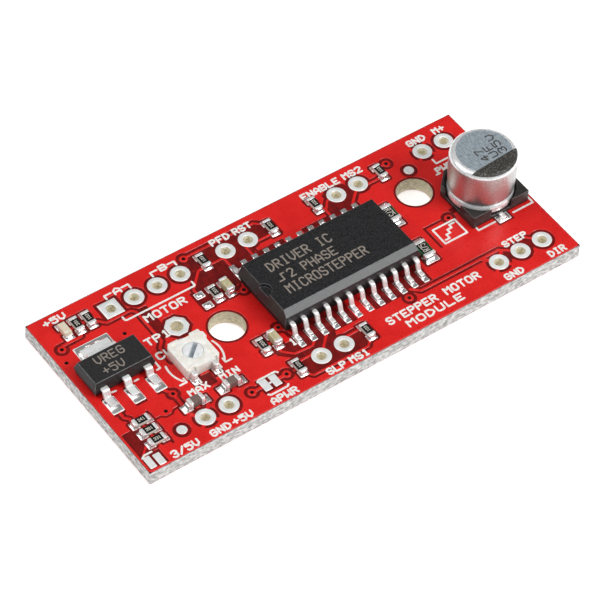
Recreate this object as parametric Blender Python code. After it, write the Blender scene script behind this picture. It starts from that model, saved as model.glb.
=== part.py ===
"""Stepper driver module: a through-hole board that carries a driver chip, a 5 V regulator,
a current trimmer, a supply capacitor and the small chip parts around them.

Every shape is drawn in millimetres and turned into metres when its object is made.
The origin is at the bottom centre of the board, +X runs along the board and +Z points up.
"""

from math import cos, hypot, pi, radians, sin

import bmesh
import bpy
from mathutils import Matrix

MM = 0.001  # metres in a millimetre
GRID = 2.54  # spacing of the header holes, which sets out the whole board
GAP = 0.02  # between pieces that touch on the real module
ROUND_STEPS = 32

BOARD_LENGTH = 19 * GRID
BOARD_WIDTH = 8 * GRID
BOARD_THICKNESS = 1.6
HEADER_ROW_Y = 3 * GRID
HEADER_HOLE = 1.0
REAR_HEADER = (0, 1, 2, 3, 5, 6, 10, 11, 14, 15)  # columns that hold a hole, from the left
FRONT_HEADER = (0, 1, 5, 6, 13, 14, 15)
FIRST_COLUMN_X = -6.5 * GRID
MOUNTING_HOLE = 3.5
MOUNTING_HOLES = ((-3.5 * GRID, 0), (6 * GRID, 1.5 * GRID))
TEST_HOLE = 1.3
TEST_POINT = (-5 * GRID, GRID)

DRIVER_AT = (GRID, 0)
DRIVER_LENGTH = 15.4
DRIVER_WIDTH = 7.5
DRIVER_TOP = 2.45
DRIVER_LEADS_A_SIDE = 12
DRIVER_PITCH = GRID / 2
DRIVER_TOE = 5.15  # from the centre line to a lead's toe
DRIVER_LEAD = (0.42, 0.25)  # width and thickness
DRIVER_PARTING = 1.25  # height of the leads where they leave the body
GROUND_LEADS = (6, 7, 18, 19)  # one piece with the die paddle
PADDLE_HALF = (2.6, 1.75)

REGULATOR_AT = (-20.26, 1.3)
REGULATOR_BODY = (6.5, 3.5, 1.65)
REGULATOR_PITCH = 2.3
REGULATOR_TOE = 3.5
REGULATOR_LEAD = (0.72, 0.26)
REGULATOR_PARTING = 0.88
TAB_WIDTH = 3.0

TRIMMER_AT = (-13.66, -1.45)
TRIMMER_HALF = (1.8, 1.86)
TRIMMER_TOP = 1.22
ROTOR_RADIUS = 0.97
ROTOR_FLANGE = 1.18
ROTOR_SLOT = (1.5, 0.28, 0.28)  # length, width and depth
ROTOR_REST = 38  # degrees between +X and the slot
TERMINAL_X = 1.15
TERMINAL_WIDTH = 0.45
POCKET_TOP = 0.56  # the room under the rotor
FLANGE_TOP = 0.86

CAPACITOR_AT = (20.24, 0.22)
CAN_RADIUS = 3.28
CAN_RING = 3.2
CAN_BOTTOM = 0.52
CAN_TOP = 5.85
BASE_HALF = 3.25
BASE_TOP = 1.45
BASE_FLOOR = 0.5
BASE_WELL = 3.45
BASE_CHAMFER = 1.35
CAPACITOR_LEAD = (0.5, 0.25)
CAPACITOR_LEAD_Y = 1.25

SMALL_CHIP = (1.6, 0.8, 0.45)  # length, width and height
TALL_CHIP = (1.6, 0.8, 0.8)
SENSE_CHIP = (2.0, 1.25, 0.55)
SENSE_X = 11.46
LED_X = -21.5
SELECT_X = -8.5 * GRID
SELECT_Y = -4.95
ACROSS = 90  # degrees, for a chip part whose length runs across the board


def clear_scene():
    for item in list(bpy.data.objects):
        bpy.data.objects.remove(item, do_unlink=True)


def make_material(name, color, roughness, metallic=0.0):
    finish = bpy.data.materials.new(name)
    finish.use_nodes = True
    shader = finish.node_tree.nodes["Principled BSDF"]
    shader.inputs["Base Color"].default_value = (*color, 1.0)
    shader.inputs["Roughness"].default_value = roughness
    shader.inputs["Metallic"].default_value = metallic
    finish.diffuse_color = (*color, 1.0)
    return finish


def make_object(name, shape, finish, at, low=BOARD_THICKNESS, turn=0.0, smooth=False):
    """Turns a shape drawn in millimetres into an object whose origin is at (at, low)."""
    bmesh.ops.recalc_face_normals(shape, faces=shape.faces)
    bmesh.ops.scale(shape, vec=(MM, MM, MM), verts=shape.verts)
    mesh = bpy.data.meshes.new(name)
    shape.to_mesh(mesh)
    shape.free()
    if finish:
        mesh.materials.append(finish)
    if smooth:
        mesh.shade_smooth()
        mesh.set_sharp_from_angle(angle=radians(35))
    item = bpy.data.objects.new(name, mesh)
    item.location = (at[0] * MM, at[1] * MM, low * MM)
    item.rotation_euler.z = radians(turn)
    bpy.context.scene.collection.objects.link(item)
    return item


def combine(item, shape, operation, at, low=BOARD_THICKNESS, turn=0.0):
    """Cuts the shape out of the item, or joins it to the item."""
    tool = make_object(f"{item.name}_{operation.lower()}", shape, None, at, low, turn)
    tool.hide_render = True
    tool.display_type = "WIRE"
    modifier = item.modifiers.new(tool.name, "BOOLEAN")
    modifier.operation = operation
    modifier.solver = "EXACT"
    modifier.object = tool


def slab(outline, low, high, shape=None):
    """A flat outline raised from one height to another."""
    shape = shape or bmesh.new()
    face = shape.faces.new([shape.verts.new((x, y, low)) for x, y in outline])
    raised = bmesh.ops.extrude_face_region(shape, geom=[face])["geom"]
    corners = [part for part in raised if isinstance(part, bmesh.types.BMVert)]
    bmesh.ops.translate(shape, vec=(0, 0, high - low), verts=corners)
    return shape


def rectangle(x0, x1, y0, y1):
    return ((x0, y0), (x1, y0), (x1, y1), (x0, y1))


def boxes(sizes):
    """Separate boxes in one shape, each given as x0, x1, y0, y1, z0, z1."""
    shape = bmesh.new()
    for x0, x1, y0, y1, z0, z1 in sizes:
        slab(rectangle(x0, x1, y0, y1), z0, z1, shape)
    return shape


def cross_section(outline, width, centre_x=0.0):
    """An outline in Y and Z, raised to both sides along X."""
    shape = slab(outline, centre_x - width / 2, centre_x + width / 2)
    turn = Matrix(((0, 0, 1, 0), (1, 0, 0, 0), (0, 1, 0, 0), (0, 0, 0, 1)))
    bmesh.ops.transform(shape, matrix=turn, verts=shape.verts)
    return shape


def tapered(levels):
    """A block with drafted sides: each level is z, x0, x1, y0, y1."""
    z, x0, x1, y0, y1 = levels[0]
    shape = bmesh.new()
    face = shape.faces.new([shape.verts.new((x, y, z)) for x, y in rectangle(x0, x1, y0, y1)])
    for index, (z, x0, x1, y0, y1) in enumerate(levels[1:]):
        raised = bmesh.ops.extrude_face_region(shape, geom=[face])["geom"]
        if index:
            bmesh.ops.delete(shape, geom=[face], context="FACES_ONLY")
        face = next(part for part in raised if isinstance(part, bmesh.types.BMFace))
        middle = face.calc_center_median()
        for vert in face.verts:
            x = x1 if vert.co.x > middle.x else x0
            y = y1 if vert.co.y > middle.y else y0
            vert.co = (x, y, z)
    return shape


def turned(profile, closed=False, steps=ROUND_STEPS):
    """A profile of radius and height, spun round the Z axis."""
    shape = bmesh.new()
    verts = [shape.verts.new((radius, 0, z)) for radius, z in profile]
    ends = verts[1:] + verts[:1] if closed else verts[1:]
    edges = [shape.edges.new(pair) for pair in zip(verts, ends)]
    bmesh.ops.spin(
        shape, geom=verts + edges, cent=(0, 0, 0), axis=(0, 0, 1), angle=2 * pi, steps=steps, use_merge=True
    )
    bmesh.ops.remove_doubles(shape, verts=shape.verts, dist=1e-4)
    return shape


def cylinders(places, diameter, low, high, steps=ROUND_STEPS):
    """Separate upright cylinders in one shape, centred at the places."""
    shape = bmesh.new()
    for x, y in places:
        centre = Matrix.Translation((x, y, (low + high) / 2))
        bmesh.ops.create_cone(
            shape, cap_ends=True, segments=steps, radius1=diameter / 2, radius2=diameter / 2,
            depth=high - low, matrix=centre,
        )
    return shape


def rounded(path, radius, steps=3):
    """The path with each inner corner replaced by a smooth bend, as a formed strip has."""
    points = [path[0]]
    for before, corner, after in zip(path, path[1:], path[2:]):
        starts = [(p[0] - corner[0], p[1] - corner[1]) for p in (before, after)]
        units = [(x / hypot(x, y), y / hypot(x, y)) for x, y in starts]
        half_turn = hypot(units[0][0] + units[1][0], units[0][1] + units[1][1]) / 2
        reach = radius * half_turn / (1 - half_turn**2) ** 0.5
        for step in range(steps + 1):
            t = step / steps
            weights = ((1 - t) ** 2 * reach, t**2 * reach)
            points.append(
                tuple(corner[i] + weights[0] * units[0][i] + weights[1] * units[1][i] for i in (0, 1))
            )
    return points + [path[-1]]


def strip_outline(path, thickness):
    """The outline of a strip of even thickness that follows the path."""
    sides = ([], [])
    for index, point in enumerate(path):
        before = path[max(index - 1, 0)]
        after = path[min(index + 1, len(path) - 1)]
        normals = []
        for a, b in ((before, point), (point, after)):
            length = hypot(b[0] - a[0], b[1] - a[1])
            if length:
                normals.append(((a[1] - b[1]) / length, (b[0] - a[0]) / length))
        x = sum(n[0] for n in normals)
        y = sum(n[1] for n in normals)
        mitre = len(normals) * thickness / 2 / (x * x + y * y)
        sides[0].append((point[0] + x * mitre, point[1] + y * mitre))
        sides[1].append((point[0] - x * mitre, point[1] - y * mitre))
    return sides[0] + sides[1][::-1]


def gull_wing(start, shoulder, toe, high, low, radius):
    """The path of a lead: out of the body, down, and out again along the board."""
    knee = shoulder + (high - low) * 0.3
    return rounded([(start, high), (shoulder, high), (knee, low), (toe, low)], radius)


def ring_sector(inner, outer, start, end, steps):
    """The outline of part of a flat ring, between two angles in degrees."""
    angles = [radians(start + (end - start) * step / steps) for step in range(steps + 1)]
    outside = [(outer * cos(angle), outer * sin(angle)) for angle in angles]
    inside = [(inner * cos(angle), inner * sin(angle)) for angle in reversed(angles)]
    return outside + inside


def build_board(finish):
    outline = rectangle(-BOARD_LENGTH / 2, BOARD_LENGTH / 2, -BOARD_WIDTH / 2, BOARD_WIDTH / 2)
    board = make_object("pcb", slab(outline, 0, BOARD_THICKNESS), finish, (0, 0), 0)
    header = [(FIRST_COLUMN_X + GRID * column, HEADER_ROW_Y) for column in REAR_HEADER]
    header += [(FIRST_COLUMN_X + GRID * column, -HEADER_ROW_Y) for column in FRONT_HEADER]
    low, high = -1, BOARD_THICKNESS + 1
    combine(board, cylinders(header, HEADER_HOLE, low, high, 16), "DIFFERENCE", (0, 0), 0)
    combine(board, cylinders([TEST_POINT], TEST_HOLE, low, high, 20), "DIFFERENCE", (0, 0), 0)
    combine(board, cylinders(MOUNTING_HOLES, MOUNTING_HOLE, low, high), "DIFFERENCE", (0, 0), 0)


def driver_lead_place(number):
    """X of a driver lead, and the side that it is on: pin 1 is front left, counted anticlockwise."""
    if number <= DRIVER_LEADS_A_SIDE:
        return (number - 0.5 - DRIVER_LEADS_A_SIDE / 2) * DRIVER_PITCH, -1
    return (1.5 * DRIVER_LEADS_A_SIDE + 0.5 - number) * DRIVER_PITCH, 1


def driver_lead_shape(number, start):
    x, side = driver_lead_place(number)
    width, thickness = DRIVER_LEAD
    low = GAP + thickness / 2
    path = gull_wing(start, 4.1, DRIVER_TOE, DRIVER_PARTING, low, 0.3)
    outline = [(side * y, z) for y, z in strip_outline(path, thickness)]
    return cross_section(outline, width, x)


def paddle_outline(grow, reach):
    """The flat die paddle with its two legs to each side, grown by a clearance."""
    half_x, half_y = (size + grow for size in PADDLE_HALF)
    leg = DRIVER_LEAD[0] / 2 + grow
    edge = [(-half_x, -half_y)]
    for centre in (-DRIVER_PITCH / 2, DRIVER_PITCH / 2):
        left, right = centre - leg, centre + leg
        edge += [(left, -half_y), (left, -reach), (right, -reach), (right, -half_y)]
    edge.append((half_x, -half_y))
    return edge + [(-x, -y) for x, y in edge]


def build_driver(body_finish, lead_finish, paddle_finish):
    half_x, half_y = DRIVER_LENGTH / 2, DRIVER_WIDTH / 2
    width, thickness = DRIVER_LEAD
    body_shape = tapered((
        (0.12, -half_x + 0.3, half_x - 0.3, -half_y + 0.2, half_y - 0.2),
        (DRIVER_PARTING, -half_x, half_x, -half_y, half_y),
        (DRIVER_TOP - 0.5, -half_x + 0.22, half_x - 0.2, -half_y + 0.16, half_y - 0.1),
        (DRIVER_TOP, -half_x + 0.35, half_x - 0.3, -half_y + 0.8, half_y - 0.15),
    ))
    body = make_object("driver_ic_body", body_shape, body_finish, DRIVER_AT)
    notch = cylinders([(-half_x + 0.3, 0)], 1.5, DRIVER_TOP - 0.35, DRIVER_TOP + 1, 24)
    combine(body, notch, "DIFFERENCE", DRIVER_AT)
    seat_low = DRIVER_PARTING - thickness / 2 - GAP
    seat_high = DRIVER_PARTING + thickness / 2 + GAP
    tail = half_y - 1.1
    seats = []
    for number in range(1, 2 * DRIVER_LEADS_A_SIDE + 1):
        x, side = driver_lead_place(number)
        if number in GROUND_LEADS:
            continue
        lead = driver_lead_shape(number, tail)
        make_object(f"driver_lead_{number:02d}", lead, lead_finish, DRIVER_AT)
        y0, y1 = sorted((side * (tail - GAP), side * (half_y + 1)))
        seats.append((x - width / 2 - GAP, x + width / 2 + GAP, y0, y1, seat_low, seat_high))
    combine(body, boxes(seats), "DIFFERENCE", DRIVER_AT)
    combine(body, slab(paddle_outline(GAP, half_y + 1), seat_low, seat_high), "DIFFERENCE", DRIVER_AT)
    paddle_shape = slab(
        paddle_outline(0, half_y + 0.1), DRIVER_PARTING - thickness / 2, DRIVER_PARTING + thickness / 2
    )
    paddle = make_object("driver_die_paddle", paddle_shape, paddle_finish, DRIVER_AT)
    for number in GROUND_LEADS:
        combine(paddle, driver_lead_shape(number, half_y - 0.3), "UNION", DRIVER_AT)


def build_regulator(body_finish, lead_finish):
    length, depth, top = REGULATOR_BODY
    half_x, half_y = length / 2, depth / 2
    width, thickness = REGULATOR_LEAD
    body_shape = tapered((
        (0.12, -half_x + 0.15, half_x - 0.15, -half_y + 0.15, half_y - 0.15),
        (REGULATOR_PARTING, -half_x, half_x, -half_y, half_y),
        (top, -half_x + 0.25, half_x - 0.25, -half_y + 0.25, half_y - 0.25),
    ))
    body = make_object("regulator_body", body_shape, body_finish, REGULATOR_AT)
    seat = (REGULATOR_PARTING - thickness / 2 - GAP, REGULATOR_PARTING + thickness / 2 + GAP)
    inner = half_y - 0.85
    path = gull_wing(inner, half_y + 0.35, REGULATOR_TOE, REGULATOR_PARTING, GAP + thickness / 2, 0.25)
    front_lead = [(-y, z) for y, z in strip_outline(path, thickness)]
    leads = (("regulator_input_lead", REGULATOR_PITCH), ("regulator_adjust_lead", -REGULATOR_PITCH))
    for name, x in leads:
        make_object(name, cross_section(front_lead, width, x), lead_finish, REGULATOR_AT)
    reach = width / 2 + GAP
    seats = [(x - reach, x + reach, -half_y - 1, GAP - inner, *seat) for _, x in leads]
    combine(body, boxes(seats), "DIFFERENCE", REGULATOR_AT)
    tab_path = [(-inner, REGULATOR_PARTING)] + path[1:]
    tab = cross_section(strip_outline(tab_path, thickness), TAB_WIDTH)
    tab_item = make_object("regulator_tab", tab, lead_finish, REGULATOR_AT)
    combine(tab_item, cross_section(front_lead, width), "UNION", REGULATOR_AT)
    half_tab = TAB_WIDTH / 2 + GAP
    plate = [(half_tab, half_y + 1), (-half_tab, half_y + 1), (-half_tab, -inner - GAP)]
    plate += [(-reach, -inner - GAP), (-reach, -half_y - 1), (reach, -half_y - 1)]
    plate += [(reach, -inner - GAP), (half_tab, -inner - GAP)]
    combine(body, slab(plate, *seat), "DIFFERENCE", REGULATOR_AT)


def trimmer_outline():
    """The moulded housing from above: cut corners, a stop nub and the terminals' slots."""
    x, y = TRIMMER_HALF
    cut = 0.3
    slot = 0.29
    front = []
    for centre in (-TERMINAL_X, TERMINAL_X):
        left, right = centre - slot, centre + slot
        front += [(left, -y), (left, 0.2 - y), (right, 0.2 - y), (right, -y)]
    nub = [(x, cut - y), (x, 0.6), (x + 0.2, 0.75), (x + 0.2, 1.35), (x, 1.5), (x, y - 0.1)]
    back = [(x - 0.1, y), (0.8, y), (0.7, y - 0.22), (-0.4, y - 0.22), (-0.5, y), (cut - x, y)]
    return [(0.1 - x, -y), *front, (x - cut, -y), *nub, *back, (-x, y - cut * 1.5), (-x, 0.1 - y)]


def build_trimmer(finishes):
    housing = make_object(
        "trimmer_housing", slab(trimmer_outline(), GAP, TRIMMER_TOP), finishes["housing"], TRIMMER_AT
    )
    flange_room, hub_room = ROTOR_FLANGE + 0.04, ROTOR_RADIUS + 0.03
    room = turned((
        (0, POCKET_TOP - 0.1), (flange_room, POCKET_TOP - 0.1), (flange_room, FLANGE_TOP),
        (hub_room, FLANGE_TOP), (hub_room, TRIMMER_TOP + 1), (0, TRIMMER_TOP + 1),
    ))
    combine(housing, boxes([(-1.45, 1.45, -1.45, 1.45, -1, POCKET_TOP)]), "DIFFERENCE", TRIMMER_AT)
    combine(housing, room, "DIFFERENCE", TRIMMER_AT)
    half = TERMINAL_WIDTH / 2
    doors = [(x - half - GAP, x + half + GAP, -1.7, -1.4, -1, 0.2) for x in (-TERMINAL_X, TERMINAL_X)]
    doors.append((-half - GAP, half + GAP, 1.4, 1.7, -1, 0.2))
    combine(housing, boxes(doors), "DIFFERENCE", TRIMMER_AT)
    wall = -TRIMMER_HALF[1]
    terminal = (
        (wall - 0.5, 0.04), (-1.46, 0.04), (-1.46, 0.16), (wall + 0.14, 0.16), (wall + 0.14, 1.0),
        (wall + 0.02, 1.0), (wall + 0.02, 0.16), (wall - 0.5, 0.16),
    )
    for name, x in (("trimmer_left_terminal", -TERMINAL_X), ("trimmer_right_terminal", TERMINAL_X)):
        make_object(name, cross_section(terminal, 2 * half, x), finishes["terminal"], TRIMMER_AT)
    wiper_terminal = cross_section([(-y, z) for y, z in terminal], 2 * half)
    make_object("trimmer_wiper_terminal", wiper_terminal, finishes["terminal"], TRIMMER_AT)
    element_shape = boxes([(-1.42, 1.42, -1.42, 1.42, 0.05, 0.3)])
    element = make_object("trimmer_resistive_element", element_shape, finishes["element"], TRIMMER_AT)
    track = slab(ring_sector(0.62, 0.98, -60, 240, 20), 0.25, 0.33)
    combine(element, track, "UNION", TRIMMER_AT)
    axis = bpy.data.objects.new("trimmer_axis", None)
    axis.location = (TRIMMER_AT[0] * MM, TRIMMER_AT[1] * MM, BOARD_THICKNESS * MM)
    bpy.context.scene.collection.objects.link(axis)
    wiper_shape = turned(((0.45, 0.46), (1.08, 0.46), (1.08, 0.55), (0.45, 0.55)), closed=True)
    wiper = make_object("trimmer_wiper", wiper_shape, finishes["wiper"], (0, 0), 0, smooth=True)
    contact = cylinders([(0, 0.8)], 0.24, 0.35, 0.5, 12)
    combine(wiper, contact, "UNION", TRIMMER_AT)
    rotor_shape = turned((
        (0, 0.57), (ROTOR_FLANGE, 0.57), (ROTOR_FLANGE, 0.83), (ROTOR_RADIUS, 0.83),
        (ROTOR_RADIUS, TRIMMER_TOP + 0.01), (0, TRIMMER_TOP + 0.01),
    ))
    rotor = make_object("trimmer_rotor", rotor_shape, finishes["rotor"], (0, 0), 0, smooth=True)
    for piece in (wiper, rotor):
        piece.parent = axis
    length, width, depth = ROTOR_SLOT
    slot = boxes([(-length / 2, length / 2, -width / 2, width / 2, TRIMMER_TOP - depth, TRIMMER_TOP + 1)])
    combine(rotor, slot, "DIFFERENCE", TRIMMER_AT, turn=ROTOR_REST)


def base_outline(size, chamfer):
    return (
        (-size, -size), (size, -size), (size, size - chamfer), (size - chamfer, size),
        (chamfer - size, size), (-size, size - chamfer),
    )


def build_capacitor(finishes):
    base_shape = slab(base_outline(BASE_HALF, BASE_CHAMFER), GAP, BASE_TOP)
    base = make_object("capacitor_base", base_shape, finishes["base"], CAPACITOR_AT)
    well = cylinders([(0, 0)], 2 * BASE_WELL, BASE_FLOOR, BASE_TOP + 1, 48)
    combine(base, well, "DIFFERENCE", CAPACITOR_AT)
    can = turned((
        (2.6, CAN_BOTTOM), (CAN_RING - 0.12, 0.55), (CAN_RING, 0.7), (CAN_RING, 1.2), (3.0, 1.55),
        (CAN_RING, 1.85), (CAN_RADIUS, 2.05), (CAN_RADIUS, CAN_TOP - 0.45), (3.14, CAN_TOP - 0.13),
        (2.83, CAN_TOP), (0, CAN_TOP), (0, CAN_TOP - 0.22), (2.8, CAN_TOP - 0.22), (3.02, CAN_TOP - 0.5),
        (3.02, 2.1), (2.8, 1.6), (2.96, 1.2), (2.96, 0.75), (2.6, 0.7),
    ), closed=True)
    make_object("capacitor_can", can, finishes["can"], CAPACITOR_AT, smooth=True)
    bung = make_object(
        "capacitor_bung", cylinders([(0, 0)], 5.5, 0.8, 1.8), finishes["bung"], CAPACITOR_AT, smooth=True
    )
    winding = turned(((0.3, 2.15), (2.9, 2.15), (2.9, 5.25), (0.3, 5.25)), closed=True)
    make_object("capacitor_winding", winding, finishes["winding"], CAPACITOR_AT, smooth=True)
    width, thickness = CAPACITOR_LEAD
    low = GAP + thickness / 2
    path = rounded([(CAPACITOR_LEAD_Y, 2.1), (CAPACITOR_LEAD_Y, low), (BASE_HALF + 0.65, low)], 0.2)
    outline = strip_outline(path, thickness)
    holes = []
    grooves = []
    for name, side in (("capacitor_negative_lead", -1), ("capacitor_positive_lead", 1)):
        lead = cross_section([(side * y, z) for y, z in outline], width)
        make_object(name, lead, finishes["lead"], CAPACITOR_AT)
        x = width / 2 + GAP
        y0, y1 = sorted(side * (CAPACITOR_LEAD_Y + edge * (thickness / 2 + GAP)) for edge in (-1, 1))
        holes.append((-x, x, y0, y1, GAP + thickness + 0.05, 2.5))
        y0, y1 = sorted((side * (CAPACITOR_LEAD_Y - thickness / 2 - GAP), side * (BASE_HALF + 1)))
        grooves.append((-x, x, y0, y1, -1, 2 * GAP + thickness + 0.05))
    combine(base, boxes(grooves), "DIFFERENCE", CAPACITOR_AT)
    combine(base, boxes(holes), "DIFFERENCE", CAPACITOR_AT)
    combine(bung, boxes(holes), "DIFFERENCE", CAPACITOR_AT)


def chip_outline(length, height, terminal, step=0.02):
    """A chip part from the side: its plated ends stand a little proud of its body."""
    end = length / 2
    inner = end - terminal
    return (
        (-end, 0), (-inner, 0), (-inner, step), (inner, step), (inner, 0), (end, 0),
        (end, height), (inner, height), (inner, height - step), (-inner, height - step),
        (-inner, height), (-end, height),
    )


def build_chip(name, finish, at, size, terminal, turn=0):
    """A chip part whose length runs along X, or across the board when it is turned."""
    length, width, height = size
    shape = cross_section(chip_outline(length, height, terminal), width)
    make_object(name, shape, finish, at, BOARD_THICKNESS + GAP, turn - ACROSS)


def build_chips(finishes):
    small = {
        "led_resistor": (LED_X + GRID / 2, HEADER_ROW_Y),
        "supply_sense_resistor": (LED_X + GRID, HEADER_ROW_Y),
        "pfd_resistor": (-2.5 * GRID, HEADER_ROW_Y),
        "reset_resistor": (0.5 * GRID, HEADER_ROW_Y),
        "enable_resistor": (2.5 * GRID, HEADER_ROW_Y),
        "ms2_resistor": (5.5 * GRID, HEADER_ROW_Y),
        "sleep_resistor": (-2.5 * GRID, -HEADER_ROW_Y),
        "ms1_resistor": (0.5 * GRID, -HEADER_ROW_Y),
        "timing_resistor_a": (-3 * GRID, 1.5 * GRID),
        "timing_resistor_b": (-3 * GRID, -1.5 * GRID),
    }
    for name, at in small.items():
        build_chip(name, finishes["resistor"], at, SMALL_CHIP, 0.3, ACROSS)
    for number in range(3):
        at = (SELECT_X, SELECT_Y - number * GRID / 2)
        build_chip(f"voltage_select_resistor_{number + 1}", finishes["resistor"], at, SMALL_CHIP, 0.3)
    for name, y in (("current_sense_resistor_a", 2.64), ("current_sense_resistor_b", -2.7)):
        build_chip(name, finishes["resistor"], (SENSE_X, y), SENSE_CHIP, 0.38, ACROSS)
    for name, y in (("timing_capacitor_a", 3.75), ("timing_capacitor_b", -1.5 * GRID)):
        build_chip(name, finishes["tan_ceramic"], (-2.5 * GRID, y), TALL_CHIP, 0.35, ACROSS)
    for name, x in (("regulator_input_capacitor", -16.41), ("regulator_output_capacitor", -12.51)):
        build_chip(name, finishes["brown_ceramic"], (x, -5.9), TALL_CHIP, 0.42)
    lens = ((0.8, 0), (0.8, 0.26), (0.74, 0.26), (0.68, 0.6))
    led = cross_section([(-x, z) for x, z in reversed(lens)] + list(lens), SMALL_CHIP[1])
    make_object("power_led", led, finishes["led"], (LED_X, HEADER_ROW_Y), BOARD_THICKNESS + GAP)


def main():
    clear_scene()
    tin = make_material("tin_plated_lead", (0.72, 0.71, 0.69), 0.3, 1.0)
    epoxy = make_material("black_moulded_epoxy", (0.022, 0.022, 0.024), 0.6)
    build_board(make_material("red_solder_mask", (0.72, 0.015, 0.02), 0.35))
    build_driver(epoxy, tin, make_material("copper_leadframe", (0.75, 0.42, 0.25), 0.35, 1.0))
    build_regulator(epoxy, tin)
    build_trimmer({
        "housing": make_material("white_moulded_plastic", (0.84, 0.81, 0.75), 0.5),
        "rotor": make_material("rotor_plastic", (0.82, 0.84, 0.87), 0.45),
        "element": make_material("ceramic_substrate", (0.8, 0.78, 0.72), 0.7),
        "wiper": make_material("spring_brass", (0.75, 0.6, 0.3), 0.3, 1.0),
        "terminal": tin,
    })
    build_capacitor({
        "can": make_material("drawn_aluminium", (0.62, 0.64, 0.66), 0.3, 1.0),
        "base": make_material("black_base_plastic", (0.03, 0.028, 0.028), 0.5),
        "bung": make_material("sealing_rubber", (0.02, 0.02, 0.02), 0.8),
        "winding": make_material("winding_paper", (0.55, 0.48, 0.36), 0.8),
        "lead": tin,
    })
    build_chips({
        "resistor": make_material("resistor_glaze", (0.03, 0.03, 0.03), 0.4),
        "tan_ceramic": make_material("tan_ceramic", (0.55, 0.5, 0.36), 0.6),
        "brown_ceramic": make_material("brown_ceramic", (0.24, 0.15, 0.12), 0.6),
        "led": make_material("led_lens", (0.85, 0.78, 0.65), 0.3),
    })


main()
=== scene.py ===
from math import atan2, cos, pi, radians, sin

import bmesh
import bpy
from mathutils import Matrix, Vector, noise
from mathutils.geometry import delaunay_2d_cdt


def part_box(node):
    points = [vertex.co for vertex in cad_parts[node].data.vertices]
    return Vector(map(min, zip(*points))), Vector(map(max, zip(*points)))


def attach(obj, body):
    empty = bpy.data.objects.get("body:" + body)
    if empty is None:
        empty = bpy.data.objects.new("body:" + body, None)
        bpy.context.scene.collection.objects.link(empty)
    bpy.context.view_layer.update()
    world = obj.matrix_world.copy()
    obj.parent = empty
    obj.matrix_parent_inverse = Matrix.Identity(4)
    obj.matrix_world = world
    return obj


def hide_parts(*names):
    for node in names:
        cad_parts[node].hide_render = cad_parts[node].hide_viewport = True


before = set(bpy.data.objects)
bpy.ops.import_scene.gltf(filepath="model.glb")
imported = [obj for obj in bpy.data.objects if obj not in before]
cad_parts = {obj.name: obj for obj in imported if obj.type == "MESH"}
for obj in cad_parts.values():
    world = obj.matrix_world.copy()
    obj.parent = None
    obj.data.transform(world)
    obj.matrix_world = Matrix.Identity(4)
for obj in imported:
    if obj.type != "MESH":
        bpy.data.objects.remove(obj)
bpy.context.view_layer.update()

mm = 0.001  # shapes are drawn in millimetres and made metres when a piece is finished
gridStep = 2.54  # spacing of the header holes
boardHalfX, boardHalfY, boardTop = (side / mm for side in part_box("pcb")[1])
artShift = gridStep  # the board artwork's own zero is one grid step right of the board's middle
octagon = (8, 22.5)  # sides, and the turn that sets a flat side square
finish = {}


def linear(code):  # an sRGB hex colour as the linear one that a socket takes
    parts = [int(code[place:place + 2], 16) / 255 for place in (1, 3, 5)]
    return (*(part / 12.92 if part <= 0.04045 else ((part + 0.055) / 1.055) ** 2.4 for part in parts), 1.0)


def addNode(tree, kind, settings=None, links=None):
    node = tree.nodes.new(kind)
    for name, value in (settings or {}).items():
        if isinstance(name, int) or name in node.inputs:
            node.inputs[name].default_value = value
        else:
            setattr(node, name, value)
    for name, output in (links or {}).items():
        tree.links.new(output, node.inputs[name])
    return node


def makeFinish(name, light, dark, patch=0.3, grain=0.1, relief=0.003, rough=(0.45, 0.6), metallic=0.0,
               drift=(0.35, 0.65), stretch=(1, 1, 1), sockets=None):
    # colour drifts from light to dark over patch mm, and grain mm wide relief stands relief mm high
    material = bpy.data.materials.new(name)
    material.use_nodes = True
    tree = material.node_tree
    shader = tree.nodes["Principled BSDF"]
    shader.inputs["Metallic"].default_value = metallic
    if not metallic:
        shader.inputs["IOR"].default_value = 1.5
    for socket, value in (sockets or {}).items():
        shader.inputs[socket].default_value = value
    place = addNode(tree, "ShaderNodeTexCoord").outputs["Object"]
    stretched = addNode(tree, "ShaderNodeMapping", {"Scale": stretch}, {"Vector": place}).outputs["Vector"]
    patches, grains = (
        addNode(tree, "ShaderNodeTexNoise",
                {"Scale": 1 / (size * mm), "Detail": detail, "Roughness": falloff},
                {"Vector": stretched}).outputs["Fac"]
        for size, detail, falloff in ((patch, 3.0, 0.6), (grain, 4.0, 0.55))
    )
    spread = addNode(tree, "ShaderNodeMapRange",
                     {"From Min": drift[0], "From Max": drift[1]}, {"Value": patches})
    tint = addNode(tree, "ShaderNodeMix", {"data_type": "RGBA", 6: linear(light), 7: linear(dark)},
                   {0: spread.outputs["Result"]})
    sheen = addNode(tree, "ShaderNodeMapRange",
                    {"From Min": 0.3, "From Max": 0.7, "To Min": rough[0], "To Max": rough[1]},
                    {"Value": grains})
    bump = addNode(tree, "ShaderNodeBump", {"Strength": 1.0, "Distance": relief * mm}, {"Height": grains})
    tree.links.new(tint.outputs[2], shader.inputs["Base Color"])
    tree.links.new(sheen.outputs["Result"], shader.inputs["Roughness"])
    tree.links.new(bump.outputs["Normal"], shader.inputs["Normal"])
    finish[name] = material


# solder mask over copper: a thin, semi-gloss red lacquer that the copper below makes bright
makeFinish("maskOverCopper", "#E62421", "#D91C1A", patch=2.5, grain=0.35, relief=0.0012, rough=(0.24, 0.36),
           sockets={"Specular IOR Level": 0.4})
# the same lacquer over bare glass epoxy, which shows through it dark
makeFinish("maskOverLaminate", "#84100F", "#64090A", patch=0.6, grain=0.2, rough=(0.3, 0.45),
           sockets={"Specular IOR Level": 0.3})
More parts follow.
